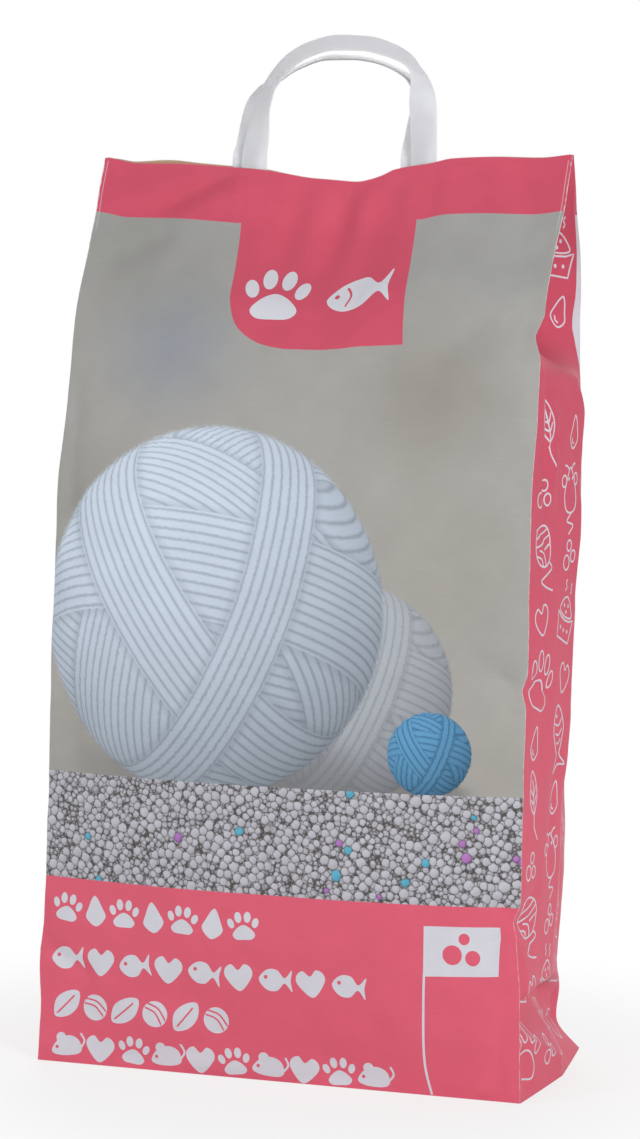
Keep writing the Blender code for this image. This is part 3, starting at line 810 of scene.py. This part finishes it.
def build_lips(sack, front_top, back_top):
    """Rims of the two lips, the slit's walls and its floor."""

    def inner(run, back):
        side = np.clip(run[:, 0] / SLIT_LIMIT, -1, 1)
        half = slit_width(side) / 2 * ease((1 - np.abs(side)) / 0.12)
        return np.stack([side * SLIT_LIMIT, SEAM_Y + (half if back else -half), run[:, 2]], -1)

    def lowered(run, depth):
        out = run.copy()
        side = np.clip(run[:, 0] / SLIT_LIMIT, -1, 1)
        out[:, 2] = height_at(side, np.ones(len(run))) - depth * ease((1 - np.abs(side)) / 0.05)
        return out

    pocket_ends = [end + shift for end in (POCKET_LEFT, POCKET_RIGHT)
                   for shift in (-POCKET_STEP, POCKET_STEP)]
    stations = np.linspace(-SLIT_LIMIT, SLIT_LIMIT, SLIT_STATIONS)
    stations = np.sort(np.concatenate([stations, pocket_ends]))
    in_pocket = (stations > POCKET_LEFT) & (stations < POCKET_RIGHT)
    top_edge = BAG_HEIGHT - TOP_DIP * through(TOP_EDGE, stations / (BAG_WIDTH / 2))
    depth = np.where(in_pocket, top_edge - LEG_END + GAP, SLIT_DEPTH)
    blank = np.stack([stations, stations * 0, stations * 0], -1)
    floors = []
    for back, top, wall, bake_low in ((False, front_top, KRAFT_FACE, FRONT_STRIPS),
                                      (True, back_top, WHITE, BACK_STRIPS)):
        top = top[np.argsort(top[:, 0])]
        rim = inner(top, back)
        low = lowered(inner(blank, back), KRAFT_DEPTH)
        floors.append(lowered(inner(blank, back), depth))
        add_strip(sack, top, rim, CUT_EDGE, bake_low)
        add_strip(sack, rim, low, KRAFT_FACE, bake_low + STRIP_PITCH)
        add_strip(sack, low, floors[-1], wall, bake_low + 2 * STRIP_PITCH)
    add_strip(sack, *floors, KRAFT_FACE, FLOOR_STRIP)


def build_base(sack, loop):
    """Block bottom: two side flaps pasted over two folded-in end flaps."""
    rim = loop[:, :2] / MM
    end = PANEL_HALF - END_FLAP
    lines = [np.array(line) for line in (((-end, 8 - GUSSET_HALF), (-end, GUSSET_HALF - 8)),
                                         ((end, 8 - GUSSET_HALF), (end, GUSSET_HALF - 8)),
                                         ((10 - PANEL_HALF, FLAP_LAP), (PANEL_HALF - 10, FLAP_LAP)))]
    grid = np.array([(x, y) for x in np.arange(4 - PANEL_HALF, PANEL_HALF - 3, BASE_GRID)
                     for y in np.arange(4 - GUSSET_HALF, GUSSET_HALF - 3, BASE_GRID)])
    grid = grid[inside(grid, rim)]
    runs = []
    for line in lines:
        grid = grid[distance(grid, line, False) > 1.2]
        along = line[1] - line[0]
        normal = np.array([-along[1], along[0]]) / np.hypot(*along)
        runs += [(line + normal * shift, False) for shift in (-0.2, 0.2)]
    flat, faces = triangulate(rim, runs, grid)
    away = distance(flat, rim, True)
    lift = (flat[:, 1] > FLAP_LAP) * LAP_LIFT + (np.abs(flat[:, 0]) > end) * FLAP_LIFT
    lift = lift * ease(away / BASE_GRID)
    points = np.column_stack([flat, lift]) * MM
    left, low, wide, high = BASE_MAP
    reach_x, reach_y = BASE_REACH
    bakes = np.stack([left + wide * (flat[:, 1] + reach_y) / (2 * reach_y),
                      low + high * (flat[:, 0] + reach_x) / (2 * reach_x)], -1)
    sack.add(points, faces[:, ::-1], PINK, points[:, :2] + [0.0, 1.0], bakes, 1.0)


def build_sack(materials):
    sack = Sack()
    prints = {"front": (front_print(), bands), "back": (back_print(), bands),
              "right": (gusset_print(0) + gusset_edges(1), all_pink),
              "left": (gusset_print(3) + gusset_edges(-1), all_pink)}
    tops, base = {}, []
    for name, piece in PANELS.items():
        items, ground = prints[name]
        flat, faces, kinds, top = panel_mesh(piece, items, ground, not piece.gusset_side)
        low, high = np.array(piece.bake_box).reshape(2, 2)
        share = np.stack([(flat[:, 0] / piece.half + 1) / 2, flat[:, 1] / (PAPER_HIGH + TOOTH)], -1)
        fold = piece.half - np.abs(flat[:, 0])
        if piece.gusset_side:
            fold = np.minimum(fold, np.abs(flat[:, 0]))
        sack.add(piece.points(flat), faces, kinds, flat * MM, low + share * (high - low), fold * MM)
        tops[name] = piece.points(top)
        row = np.unique(flat[flat[:, 1] < 1e-6][:, 0])
        base.append(piece.points(np.stack([row, row * 0], -1))[:-1])
    build_lips(sack, tops["front"], tops["back"])
    for side, name in ((1, "right"), (-1, "left")):
        points = np.vstack([tops[name], [(side * SLIT_LIMIT, SEAM_Y, BAG_HEIGHT)]])
        last = len(points) - 1
        faces = [(i, i + 1, last) for i in range(last - 1)]
        sack.add(points, faces, CUT_EDGE, points[:, [0, 2]], np.full((len(points), 2), 0.99), 1.0)
    build_base(sack, np.vstack(base))
    return sack.build("printed_sack", materials)


class Value:
    """A number that a material works out at each point. Its sums and products are nodes."""

    def __init__(self, graph, socket):
        self.graph, self.socket = graph, socket

    def __add__(self, other):
        return self.graph.math("ADD", self, other)

    def __sub__(self, other):
        return self.graph.math("SUBTRACT", self, other)

    def __rsub__(self, other):
        return self.graph.math("SUBTRACT", other, self)

    def __mul__(self, other):
        return self.graph.math("MULTIPLY", self, other)

    def __abs__(self):
        return self.graph.math("ABSOLUTE", self)


class Graph:
    """Short calls for building a material's nodes."""

    def __init__(self, name):
        self.material = bpy.data.materials.new(name)
        self.material.use_nodes = True
        self.tree = self.material.node_tree
        self.shader = self.tree.nodes["Principled BSDF"]

    def put(self, socket, value):
        if isinstance(value, Value):
            value = value.socket
        if isinstance(value, bpy.types.NodeSocket):
            self.tree.links.new(value, socket)
        elif isinstance(value, tuple) and len(value) == 3 and len(socket.default_value) == 4:
            socket.default_value = (*value, 1.0)
        else:
            socket.default_value = value

    def set(self, **values):
        """Puts values into the shader's sockets, each named by its words joined with _."""
        for name, value in values.items():
            self.put(self.shader.inputs[name.replace("_", " ")], value)

    def node(self, kind, inputs, **settings):
        """New node, its settings made first and then its inputs, by name or number."""
        node = self.tree.nodes.new("ShaderNode" + kind)
        for key, value in settings.items():
            setattr(node, key, value)
        for key, value in inputs.items():
            self.put(node.inputs[key], value)
        return node

    def values(self, node, *outputs):
        return [Value(self, node.outputs[key]) for key in outputs]

    def math(self, operation, *values):
        return Value(self, self.node("Math", dict(enumerate(values)), operation=operation).outputs[0])

    def length(self, x, y):
        return self.math("SQRT", x * x + y * y)

    def step(self, value, low, high):
        """0 below low, 1 above high, smooth between; the other way round if low is the higher."""
        ends = (high, low, 1.0, 0.0) if low > high else (low, high, 0.0, 1.0)
        node = self.node("MapRange", dict(enumerate((value, *ends))), interpolation_type="SMOOTHSTEP")
        return Value(self, node.outputs[0])

    def mix(self, share, a, b, blend="MIX"):
        return self.node("Mix", {0: share, 6: a, 7: b}, data_type="RGBA", blend_type=blend).outputs[2]

    def shaded(self, colour, shade):
        return self.mix(1.0, colour, self.vector(shade, shade, shade), "MULTIPLY")

    def vector(self, *parts):
        return self.node("CombineXYZ", dict(enumerate(parts))).outputs[0]

    def parts(self, vector):
        return self.values(self.node("SeparateXYZ", {0: vector}), 0, 1, 2)

    def noise(self, place, scale, detail=2.0, rough=0.5):
        inputs = {"Vector": place, "Scale": scale, "Detail": detail, "Roughness": rough}
        return Value(self, self.node("TexNoise", inputs).outputs[0])

    def object_place(self):
        return self.node("TexCoord", {}).outputs["Object"]

    def paper_place(self):
        """Print coordinates in millimetres, as a vector and as its two parts."""
        uv = self.node("UVMap", {}, uv_map="print").outputs[0]
        place = self.node("VectorMath", {0: uv, 3: 1 / MM}, operation="SCALE").outputs[0]
        x, y, _ = self.parts(place)
        return place, x, y

    def bump(self, height, strength, deep):
        node = self.node("Bump", {"Strength": strength, "Distance": deep, "Height": height})
        self.set(Normal=node.outputs[0])


# Wear along the folds, in metres: its width, and how far off the fold a rubbed line runs.
WEAR_WIDTH = 0.0016
WEAR_LINE = 0.0017


def paper_finish(graph, place, x, y, colour, roughness, worn=True):
    """Ink on satin paper: faint mottle, fibre and ribs, and white wear along the folds."""
    mottle = graph.noise(place, 0.055, 3.0, 0.55)
    fine = graph.noise(place, 1.6, 2.0, 0.6)
    streaks = graph.noise(graph.vector(x * 0.10, y * 1.5), 1.0, 2.0, 0.6)
    shade = (mottle - 0.5) * 0.14 + (fine - 0.5) * 0.07 + (streaks - 0.5) * 0.10 + 1.0
    tinted = graph.shaded(colour, shade)
    if worn:
        away, = graph.values(graph.node("Attribute", {}, attribute_name="fold_distance"), "Fac")
        flakes = graph.noise(graph.vector(x * 2.0, y * 0.35), 1.0, 3.0, 0.65)
        width = (flakes - 0.30) * WEAR_WIDTH * (graph.step(y, 330, 395) * 0.9 + 0.55)
        rubbed = graph.step(width - away, -0.00005, 0.0002) * 0.7
        line = graph.step(abs(away - WEAR_LINE), 0.0003, 0.0001) * graph.step(y, 368, 376) * 0.45
        tinted = graph.mix(graph.math("MAXIMUM", rubbed, line), tinted, WORN_INK)
    graph.set(Base_Color=tinted, Roughness=(mottle - 0.5) * 0.12 + roughness, Specular_IOR_Level=0.15)
    height = fine * 0.6 + graph.noise(place, 0.35, 3.0, 0.6) * 0.9 + streaks * 0.5
    graph.bump(height, 0.30, 0.00018)
    return graph.material


# Painted highlight: span of the top band over the handle patch behind the front lip, where the pink is
# lightened, from left to right.
PAINTED_HIGHLIGHT_SPAN = (-43.5, 49.0)


def pink_material():
    graph = Graph("pink_print")
    place, x, y = graph.paper_place()
    # Pink, lighter at the bottom and darker towards the top; the darker top is painted shade.
    colour = graph.mix(graph.step(y, 60, 340), LOW_PINK_INK, TOP_PINK_INK_AND_PAINTED_SHADE)
    left, right = PAINTED_HIGHLIGHT_SPAN
    # Painted highlight: the pink lightened by 3 % between these ends, fading in from 350 to 374 mm up.
    painted_highlight = graph.step(x, left - 1, left + 1) * graph.step(x, right + 1, right - 1)
    painted_highlight = painted_highlight * graph.step(y, 350, 374)
    colour = graph.mix(painted_highlight, colour, tuple(c * 1.03 for c in TOP_PINK_INK_AND_PAINTED_SHADE))
    return paper_finish(graph, place, x, y, colour, 0.52)


def white_ink_material():
    graph = Graph("white_print")
    return paper_finish(graph, *graph.paper_place(), WHITE_INK, 0.55, worn=False)


def kraft_material(name="kraft", flat=True):
    graph = Graph(name)
    if flat:
        place, scale = graph.paper_place()[0], 1.0
    else:
        place, scale = graph.object_place(), 1 / MM
    fibre = graph.noise(place, 0.8 * scale, 4.0, 0.7)
    graph.set(Base_Color=graph.mix(fibre, *KRAFT_INKS), Roughness=0.85)
    graph.bump(fibre, 0.3, 0.0002)
    return graph.material


def cut_edge_material():
    """Cut edge of the plies: white printed paper outside, kraft inside."""
    graph = Graph("cut_edge")
    fibre = graph.noise(graph.paper_place()[0], 1.2, 3.0, 0.6)
    graph.set(Base_Color=graph.mix(fibre, *CUT_EDGE_INKS), Roughness=0.8)
    return graph.material


# Layers of printed grains: cells to a millimetre, turn of the cells, share left out, light and dark.
GRAIN_LAYERS = ((0.56, 1.15, 0.00, (0.300, 0.292, 0.312), (0.130, 0.124, 0.128)),
                (0.36, 0.20, 0.03, (0.425, 0.421, 0.462), (0.205, 0.200, 0.218)),
                (0.25, 0.60, 0.10, (0.478, 0.474, 0.522), (0.245, 0.240, 0.266)))
# Coloured grains in the top layer: where their share of the cells starts, dark and light.
COLOURED_GRAINS = ((0.968, (0.040, 0.190, 0.280), (0.110, 0.390, 0.520)),
                   (0.986, (0.210, 0.070, 0.250), (0.400, 0.180, 0.470)))


def granules_material():
    """Printed litter: round pale grains of several sizes with dark gaps, and a few blue and purple ones."""
    graph = Graph("granule_print")
    place, x, y = graph.paper_place()
    wobble = graph.noise(place, 0.5, 2.0, 0.6) - 0.5
    shifted = graph.vector(x + wobble * 1.3, y + wobble * -1.3)
    colour = (0.075, 0.069, 0.067)
    for layer in GRAIN_LAYERS:
        scale, turn, left_out, light, dark = layer
        at = graph.node("VectorRotate", {"Vector": shifted, "Angle": turn}, rotation_type="Z_AXIS")
        at = at.outputs[0]
        cell, sphere, edge = (graph.node("TexVoronoi", {"Vector": at, "Scale": scale, "Randomness": 0.68},
                                         voronoi_dimensions="2D", feature=feature)
                              for feature in ("F1", "N_SPHERE_RADIUS", "DISTANCE_TO_EDGE"))
        pick, kind, lift = graph.values(graph.node("SeparateColor", {0: cell.outputs["Color"]}), 0, 1, 2)
        middle = graph.node("VectorMath", {0: at, 1: cell.outputs["Position"]}, operation="SUBTRACT")
        across, up, _ = graph.parts(middle.outputs[0])
        reach, = graph.values(sphere, "Radius")
        from_middle, = graph.values(cell, "Distance")
        from_edge, = graph.values(edge, "Distance")
        room = graph.math("SMOOTH_MIN", (reach * 1.17 - from_middle) * (1 / scale),
                          from_edge * (1 / scale) - 0.02, 0.70)
        present = graph.step(pick, left_out - 0.01, left_out)
        slope = (across * (-0.08 * math.cos(turn) - 0.14 * math.sin(turn))
                 + up * (0.14 * math.cos(turn) - 0.08 * math.sin(turn)))
        lit = graph.step(room, -0.15, 0.60) * 0.72 + slope + lift * 0.22 + wobble * 0.30
        grain = graph.mix(lit, dark, light)
        if layer is GRAIN_LAYERS[-1]:
            for start, deep, bright in COLOURED_GRAINS:
                share = graph.step(kind, start, start + 0.002)
                grain = graph.mix(share, grain, graph.mix(lit, deep, bright))
        shadow = graph.step(room, -0.36, -0.02) * present * 0.85
        colour = graph.mix(shadow, colour, (0.085, 0.078, 0.077))
        colour = graph.mix(graph.step(room, -0.04, 0.10) * present, colour, grain)
    return paper_finish(graph, place, x, y, colour, 0.55)


# Directions across the strands of a ball's belts of wool, and how far each belt reaches from its middle.
BELTS = (((0.3, 0.9, 0.2), 2.0), ((0.85, -0.35, 0.4), 0.40), ((-0.55, -0.65, 0.5), 0.34),
         ((0.15, 0.95, -0.25), 0.30), ((0.75, 0.6, 0.3), 0.24), ((-0.9, 0.35, 0.3), 0.18))
# Balls of wool: middle, radius, light, dark, strands and softness of the strands.
BALLS = (((32, 172), 47.0, (0.440, 0.470, 0.515), (0.250, 0.268, 0.300), 38.0, 0.50),
         ((-32, 204), 80.0, (0.560, 0.640, 0.740), (0.300, 0.350, 0.420), 56.0, 0.28),
         ((70, 147), 18.0, (0.110, 0.300, 0.500), (0.040, 0.120, 0.230), 20.0, 0.25))
# Blurred patches of the picture's ground: middle, reach, tint and strength.
PATCHES = (((-58, 318), 46.0, (0.200, 0.225, 0.280), 0.55), ((66, 300), 50.0, (0.235, 0.215, 0.185), 0.6),
           ((84, 232), 76.0, (0.322, 0.311, 0.284), 0.7), ((-88, 374), 60.0, (0.260, 0.258, 0.246), 0.7),
           ((-96, 250), 46.0, (0.250, 0.242, 0.222), 0.5))


def along(normal, direction):
    length = math.sqrt(sum(c * c for c in direction))
    x, y, z = (part * (c / length) for part, c in zip(normal, direction))
    return x + y + z


def wool_ball(graph, place, x, y, centre, radius, light, dark, strands, soft):
    """Painted ball of wool: belts of parallel strands wound over each other. Gives its mask and colour."""
    fuzz = (graph.noise(place, 0.5, 3.0, 0.7) - 0.5) * 1.6
    fibre = graph.noise(place, 1.7, 3.0, 0.7) - 0.5
    px = (x - centre[0] + fuzz) * (1 / radius)
    py = (y - centre[1] - fuzz) * (1 / radius)
    square = px * px + py * py
    normal = (px, py, graph.math("SQRT", graph.math("MAXIMUM", 1.0 - square, 0.0)))
    colour = None
    for direction, reach in BELTS:
        s = along(normal, direction)
        wave = abs(graph.math("SINE", s * strands + fibre * 0.9))
        strand = graph.mix(graph.step(wave, 0.0, 0.8) * (1 - soft) + soft, dark, light)
        if colour is None:
            colour = strand
            continue
        edge = reach - abs(s)
        colour = graph.mix(graph.step(edge, -0.06, 0.0) * 0.35, colour, dark)
        colour = graph.mix(graph.step(edge, -0.004, 0.004), colour, strand)
    shade = along(normal, (-0.40, 0.62, 0.68)) * 0.42 + fibre * 0.16 + 0.60
    return graph.step(square + fibre * 0.10, 1.03, 0.97), graph.shaded(colour, shade)


def picture_material():
    """Soft grey-beige ground with balls of wool on it."""
    graph = Graph("picture_print")
    place, x, y = graph.paper_place()
    ground = graph.mix(graph.step(y, 400, 200), (0.316, 0.314, 0.304), (0.350, 0.337, 0.311))
    cloud = graph.noise(place, 0.012, 2.0, 0.5)
    ground = graph.mix(graph.step(cloud, 0.35, 0.75) * 0.5, ground, (0.300, 0.300, 0.295))
    for centre, reach, tint, share in PATCHES:
        far = graph.length(x - centre[0], y - centre[1])
        ground = graph.mix(graph.step(far, reach, 0.0) * share, ground, tint)
    ground = graph.mix(graph.step(y, 168, 140) * 0.45, ground, (0.300, 0.290, 0.270))
    for ball in BALLS:
        centre, radius = ball[:2]
        dx = (x - (centre[0] + radius * 0.12)) * (1 / (radius * 1.12))
        dy = (y - (centre[1] - radius * 0.9)) * (1 / (radius * 0.34))
        shadow = graph.step(dx * dx + dy * dy, 1.0, 0.1) * 0.55
        mask, colour = wool_ball(graph, place, x, y, *ball)
        ground = graph.mix(mask, graph.mix(shadow, ground, (0.140, 0.138, 0.140)), colour)
    return paper_finish(graph, place, x, y, ground, 0.50)


def handle_material():
    graph = Graph("handle_paper")
    place = graph.object_place()
    fibre = graph.noise(place, 900.0, 3.0, 0.6)
    colour = graph.mix(graph.noise(place, 60.0, 2.0, 0.5), *HANDLE_INKS)
    graph.set(Base_Color=graph.mix(fibre * 0.12, colour, HANDLE_FIBRE_INK), Roughness=0.62,
              Subsurface_Weight=0.9, Subsurface_Radius=(1.0, 1.0, 1.0), Subsurface_Scale=0.003)
    graph.bump(fibre, 0.25, 0.0001)
    return graph.material


# A strip's section, as (share of the width, share of the thickness): a folded edge is round, and the lap of
# the folded paper steps down on the back.
SECTION = ((-0.5, 0.0), (-0.492, 0.36), (-0.47, 0.5), (-0.20, 0.5), (0.10, 0.5), (0.14, 0.42), (0.16, 0.36),
           (0.30, 0.36), (0.46, 0.36), (0.49, 0.26), (0.5, 0.0), (0.49, -0.4), (0.47, -0.5), (0.25, -0.5),
           (0.0, -0.5), (-0.25, -0.5), (-0.47, -0.5), (-0.492, -0.36))
RIBBON_STEPS = 260


def ribbon_points(path, s, foot, rise):
    """Middle line of a ribbon, its direction and the direction across it."""
    stations = np.arange(len(path)) / (len(path) - 1)
    shift, lift, twist = (list(zip(stations, column)) for column in zip(*path))

    def at(s):
        return np.stack([through(shift, s) * LEG_SPACING, s * 0, foot + through(lift, s) * rise], -1)

    ahead = at(np.minimum(s + 0.004, 1.0)) - at(np.maximum(s - 0.004, 0.0))
    ahead /= np.linalg.norm(ahead, axis=1)[:, None]
    turn = np.radians(through(twist, s))[:, None]
    width = -np.cross(ahead, (0.0, 1.0, 0.0)) * np.cos(turn) + np.array([0.0, 1.0, 0.0]) * np.sin(turn)
    return at(s), ahead, width


def build_handle(name, path, x, y, lean, rise, material):
    """Flat folded paper strip with a lap along its back."""
    foot = BAG_HEIGHT - TOP_DIP / 2
    s = np.linspace(0.0, 1.0, RIBBON_STEPS + 1)
    here, ahead, width = ribbon_points(path, s, foot, rise)
    here[:, 0] += x
    here[:, 1] += y + lean * np.maximum(0.0, (here[:, 2] - foot) / rise - STRAIGHT_SHARE)
    normal = np.cross(ahead, width)
    normal /= np.linalg.norm(normal, axis=1)[:, None]
    ripple = 0.05 * MM * lattice_noise(s * 40, s * 0 + x * 900, 61) * ease(s / 0.1) * ease((1 - s) / 0.1)
    here = here + normal * ripple[:, None]
    drop = np.array([0.0, 0.0, foot - LEG_END])
    here = np.vstack([here[0] - drop, here, here[-1] - drop])
    width, normal = (np.vstack([v[0], v, v[-1]]) for v in (width, normal))
    bm = bmesh.new()
    rows = [[bm.verts.new(p + w * (a * STRIP_WIDTH) + n * (b * STRIP_THICKNESS)) for a, b in SECTION]
            for p, w, n in zip(here, width, normal)]
    count = len(SECTION)
    for low, high in zip(rows, rows[1:]):
        for i in range(count):
            j = (i + 1) % count
            bm.faces.new((low[i], low[j], high[j], high[i]))
    bm.faces.new(rows[0])
    bm.faces.new(rows[-1])
    bmesh.ops.recalc_face_normals(bm, faces=bm.faces[:])
    mesh = bpy.data.meshes.new(name)
    bm.to_mesh(mesh)
    bm.free()
    mesh.materials.append(material)
    return smooth_object(name, mesh, 32)


def background_rays(tree):
    """1 for a ray that shows the background as it is: from the camera, or by way of gloss or glass."""
    path = tree.nodes.new("ShaderNodeLightPath")
    total = path.outputs["Is Camera Ray"]
    for kind in ("Is Glossy Ray", "Is Transmission Ray"):
        both = tree.nodes.new("ShaderNodeMath")
        both.use_clamp = True
        tree.links.new(total, both.inputs[0])
        tree.links.new(path.outputs[kind], both.inputs[1])
        total = both.outputs[0]
    return total


# Floor, in metres: radius, gap under the sack, and from where to where it turns wholly white. Its share of
# white is lower under the sack.
FLOOR_RADIUS = 9.0
FLOOR_GAP = 0.0002
WHITE_FROM, WHITE_TO = 0.10, 0.30
WHITE_UNDER = 0.74


def build_stage():
    """Pale floor that turns into the white background away from the sack."""
    bpy.ops.mesh.primitive_circle_add(vertices=96, radius=FLOOR_RADIUS, fill_type="NGON",
                                      location=(0, 0, -FLOOR_GAP))
    floor = bpy.context.object
    floor.name = "floor"
    graph = Graph("floor")
    graph.set(Base_Color=(0.76, 0.76, 0.76), Roughness=0.9, Specular_IOR_Level=0.1)
    x, y, _ = graph.parts(graph.object_place())
    whiter = graph.step(graph.length(x, y), WHITE_FROM, WHITE_TO) * (1 - WHITE_UNDER) + WHITE_UNDER
    glow = graph.node("Emission", {0: (1.0, 1.0, 1.0)}).outputs[0]
    share = whiter * background_rays(graph.tree)
    blend = graph.node("MixShader", {0: share, 1: graph.shader.outputs[0], 2: glow})
    graph.put(graph.tree.nodes["Material Output"].inputs[0], blend.outputs[0])
    floor.data.materials.append(graph.material)


# Strength of the light from all round, the point that the lamps face, and each lamp's name, place, size and
# power.
SOFT_LIGHT = 0.30
LAMP_AIM = (0, 0, 0.2)
LAMPS = (("key", (2.0, -1.8, 1.2), 0.7, 51.0), ("fill", (-1.7, -2.0, 1.0), 0.9, 23.0),
         ("rear", (-0.8, 2.3, 1.6), 1.6, 36.0))


def build_light():
    world = bpy.data.worlds.new("studio")
    bpy.context.scene.world = world
    world.use_nodes = True
    tree = world.node_tree
    blend = tree.nodes.new("ShaderNodeMixShader")
    tree.links.new(background_rays(tree), blend.inputs[0])
    soft, white = tree.nodes["Background"], tree.nodes.new("ShaderNodeBackground")
    for number, (ground, strength) in enumerate(((soft, SOFT_LIGHT), (white, 1.0))):
        ground.inputs[0].default_value = (1.0, 1.0, 1.0, 1.0)
        ground.inputs[1].default_value = strength
        tree.links.new(ground.outputs[0], blend.inputs[number + 1])
    tree.links.new(blend.outputs[0], tree.nodes["World Output"].inputs[0])
    for name, place, size, power in LAMPS:
        lamp = bpy.data.lights.new(name, "AREA")
        lamp.shape = "SQUARE"
        lamp.size = size
        lamp.energy = power
        item = add_object(name, lamp)
        item.location = place
        item.rotation_euler = (Vector(LAMP_AIM) - Vector(place)).to_track_quat("-Z", "Y").to_euler()


def build_camera():
    yaw, pitch, roll = (math.radians(v) for v in (CAMERA_YAW, CAMERA_PITCH, CAMERA_ROLL))
    back = Vector((math.sin(yaw) * math.cos(pitch), -math.cos(yaw) * math.cos(pitch), math.sin(pitch)))
    right = Vector((math.cos(yaw), math.sin(yaw), 0.0))
    up = back.cross(right)
    turned_right = right * math.cos(roll) + up * math.sin(roll)
    turned_up = up * math.cos(roll) - right * math.sin(roll)
    across, lift, height = CAMERA_AIM
    aim = Vector((0, 0, height)) + right * across + up * lift
    camera = bpy.data.cameras.new("camera")
    camera.sensor_width = SENSOR
    camera.lens = FOCAL_PIXELS * SENSOR / PHOTO_HEIGHT
    item = add_object("camera", camera)
    turn = Matrix((turned_right, turned_up, back)).transposed()
    item.matrix_world = Matrix.Translation(aim + back * CAMERA_DISTANCE) @ turn.to_4x4()
    bpy.context.scene.camera = item


def dress(piece, node):
    """Hides the solid that a piece stands for and parents the piece to the body. The whole object is one body.
    """
    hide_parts(node)
    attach(piece, "root")


def main():
    build_camera()
    build_light()
    build_stage()
    materials = [pink_material(), picture_material(), granules_material(), white_ink_material(),
                 kraft_material(), cut_edge_material()]
    dress(build_sack(materials), "bag_body")
    white = handle_material()
    leg = SLIT_WIDTH / 2 - GAP - STRIP_THICKNESS / 2
    front = (FRONT_PATH, HANDLE_X, SEAM_Y - leg, FRONT_LEAN, HANDLE_RISE)
    back = (BACK_PATH, BACK_HANDLE_X, SEAM_Y + leg, BACK_LEAN, HANDLE_RISE - BACK_RISE_LOSS)
    dress(build_handle("front_handle", *front, white), "handle_front")
    dress(build_handle("back_handle", *back, white), "handle_back")
    kraft = kraft_material("kraft_patch", flat=False)
    for name in ("handle_patch_front", "handle_patch_back"):
        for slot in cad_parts[name].material_slots:
            slot.material = kraft
    bpy.context.scene.view_settings.view_transform = "Standard"


main()
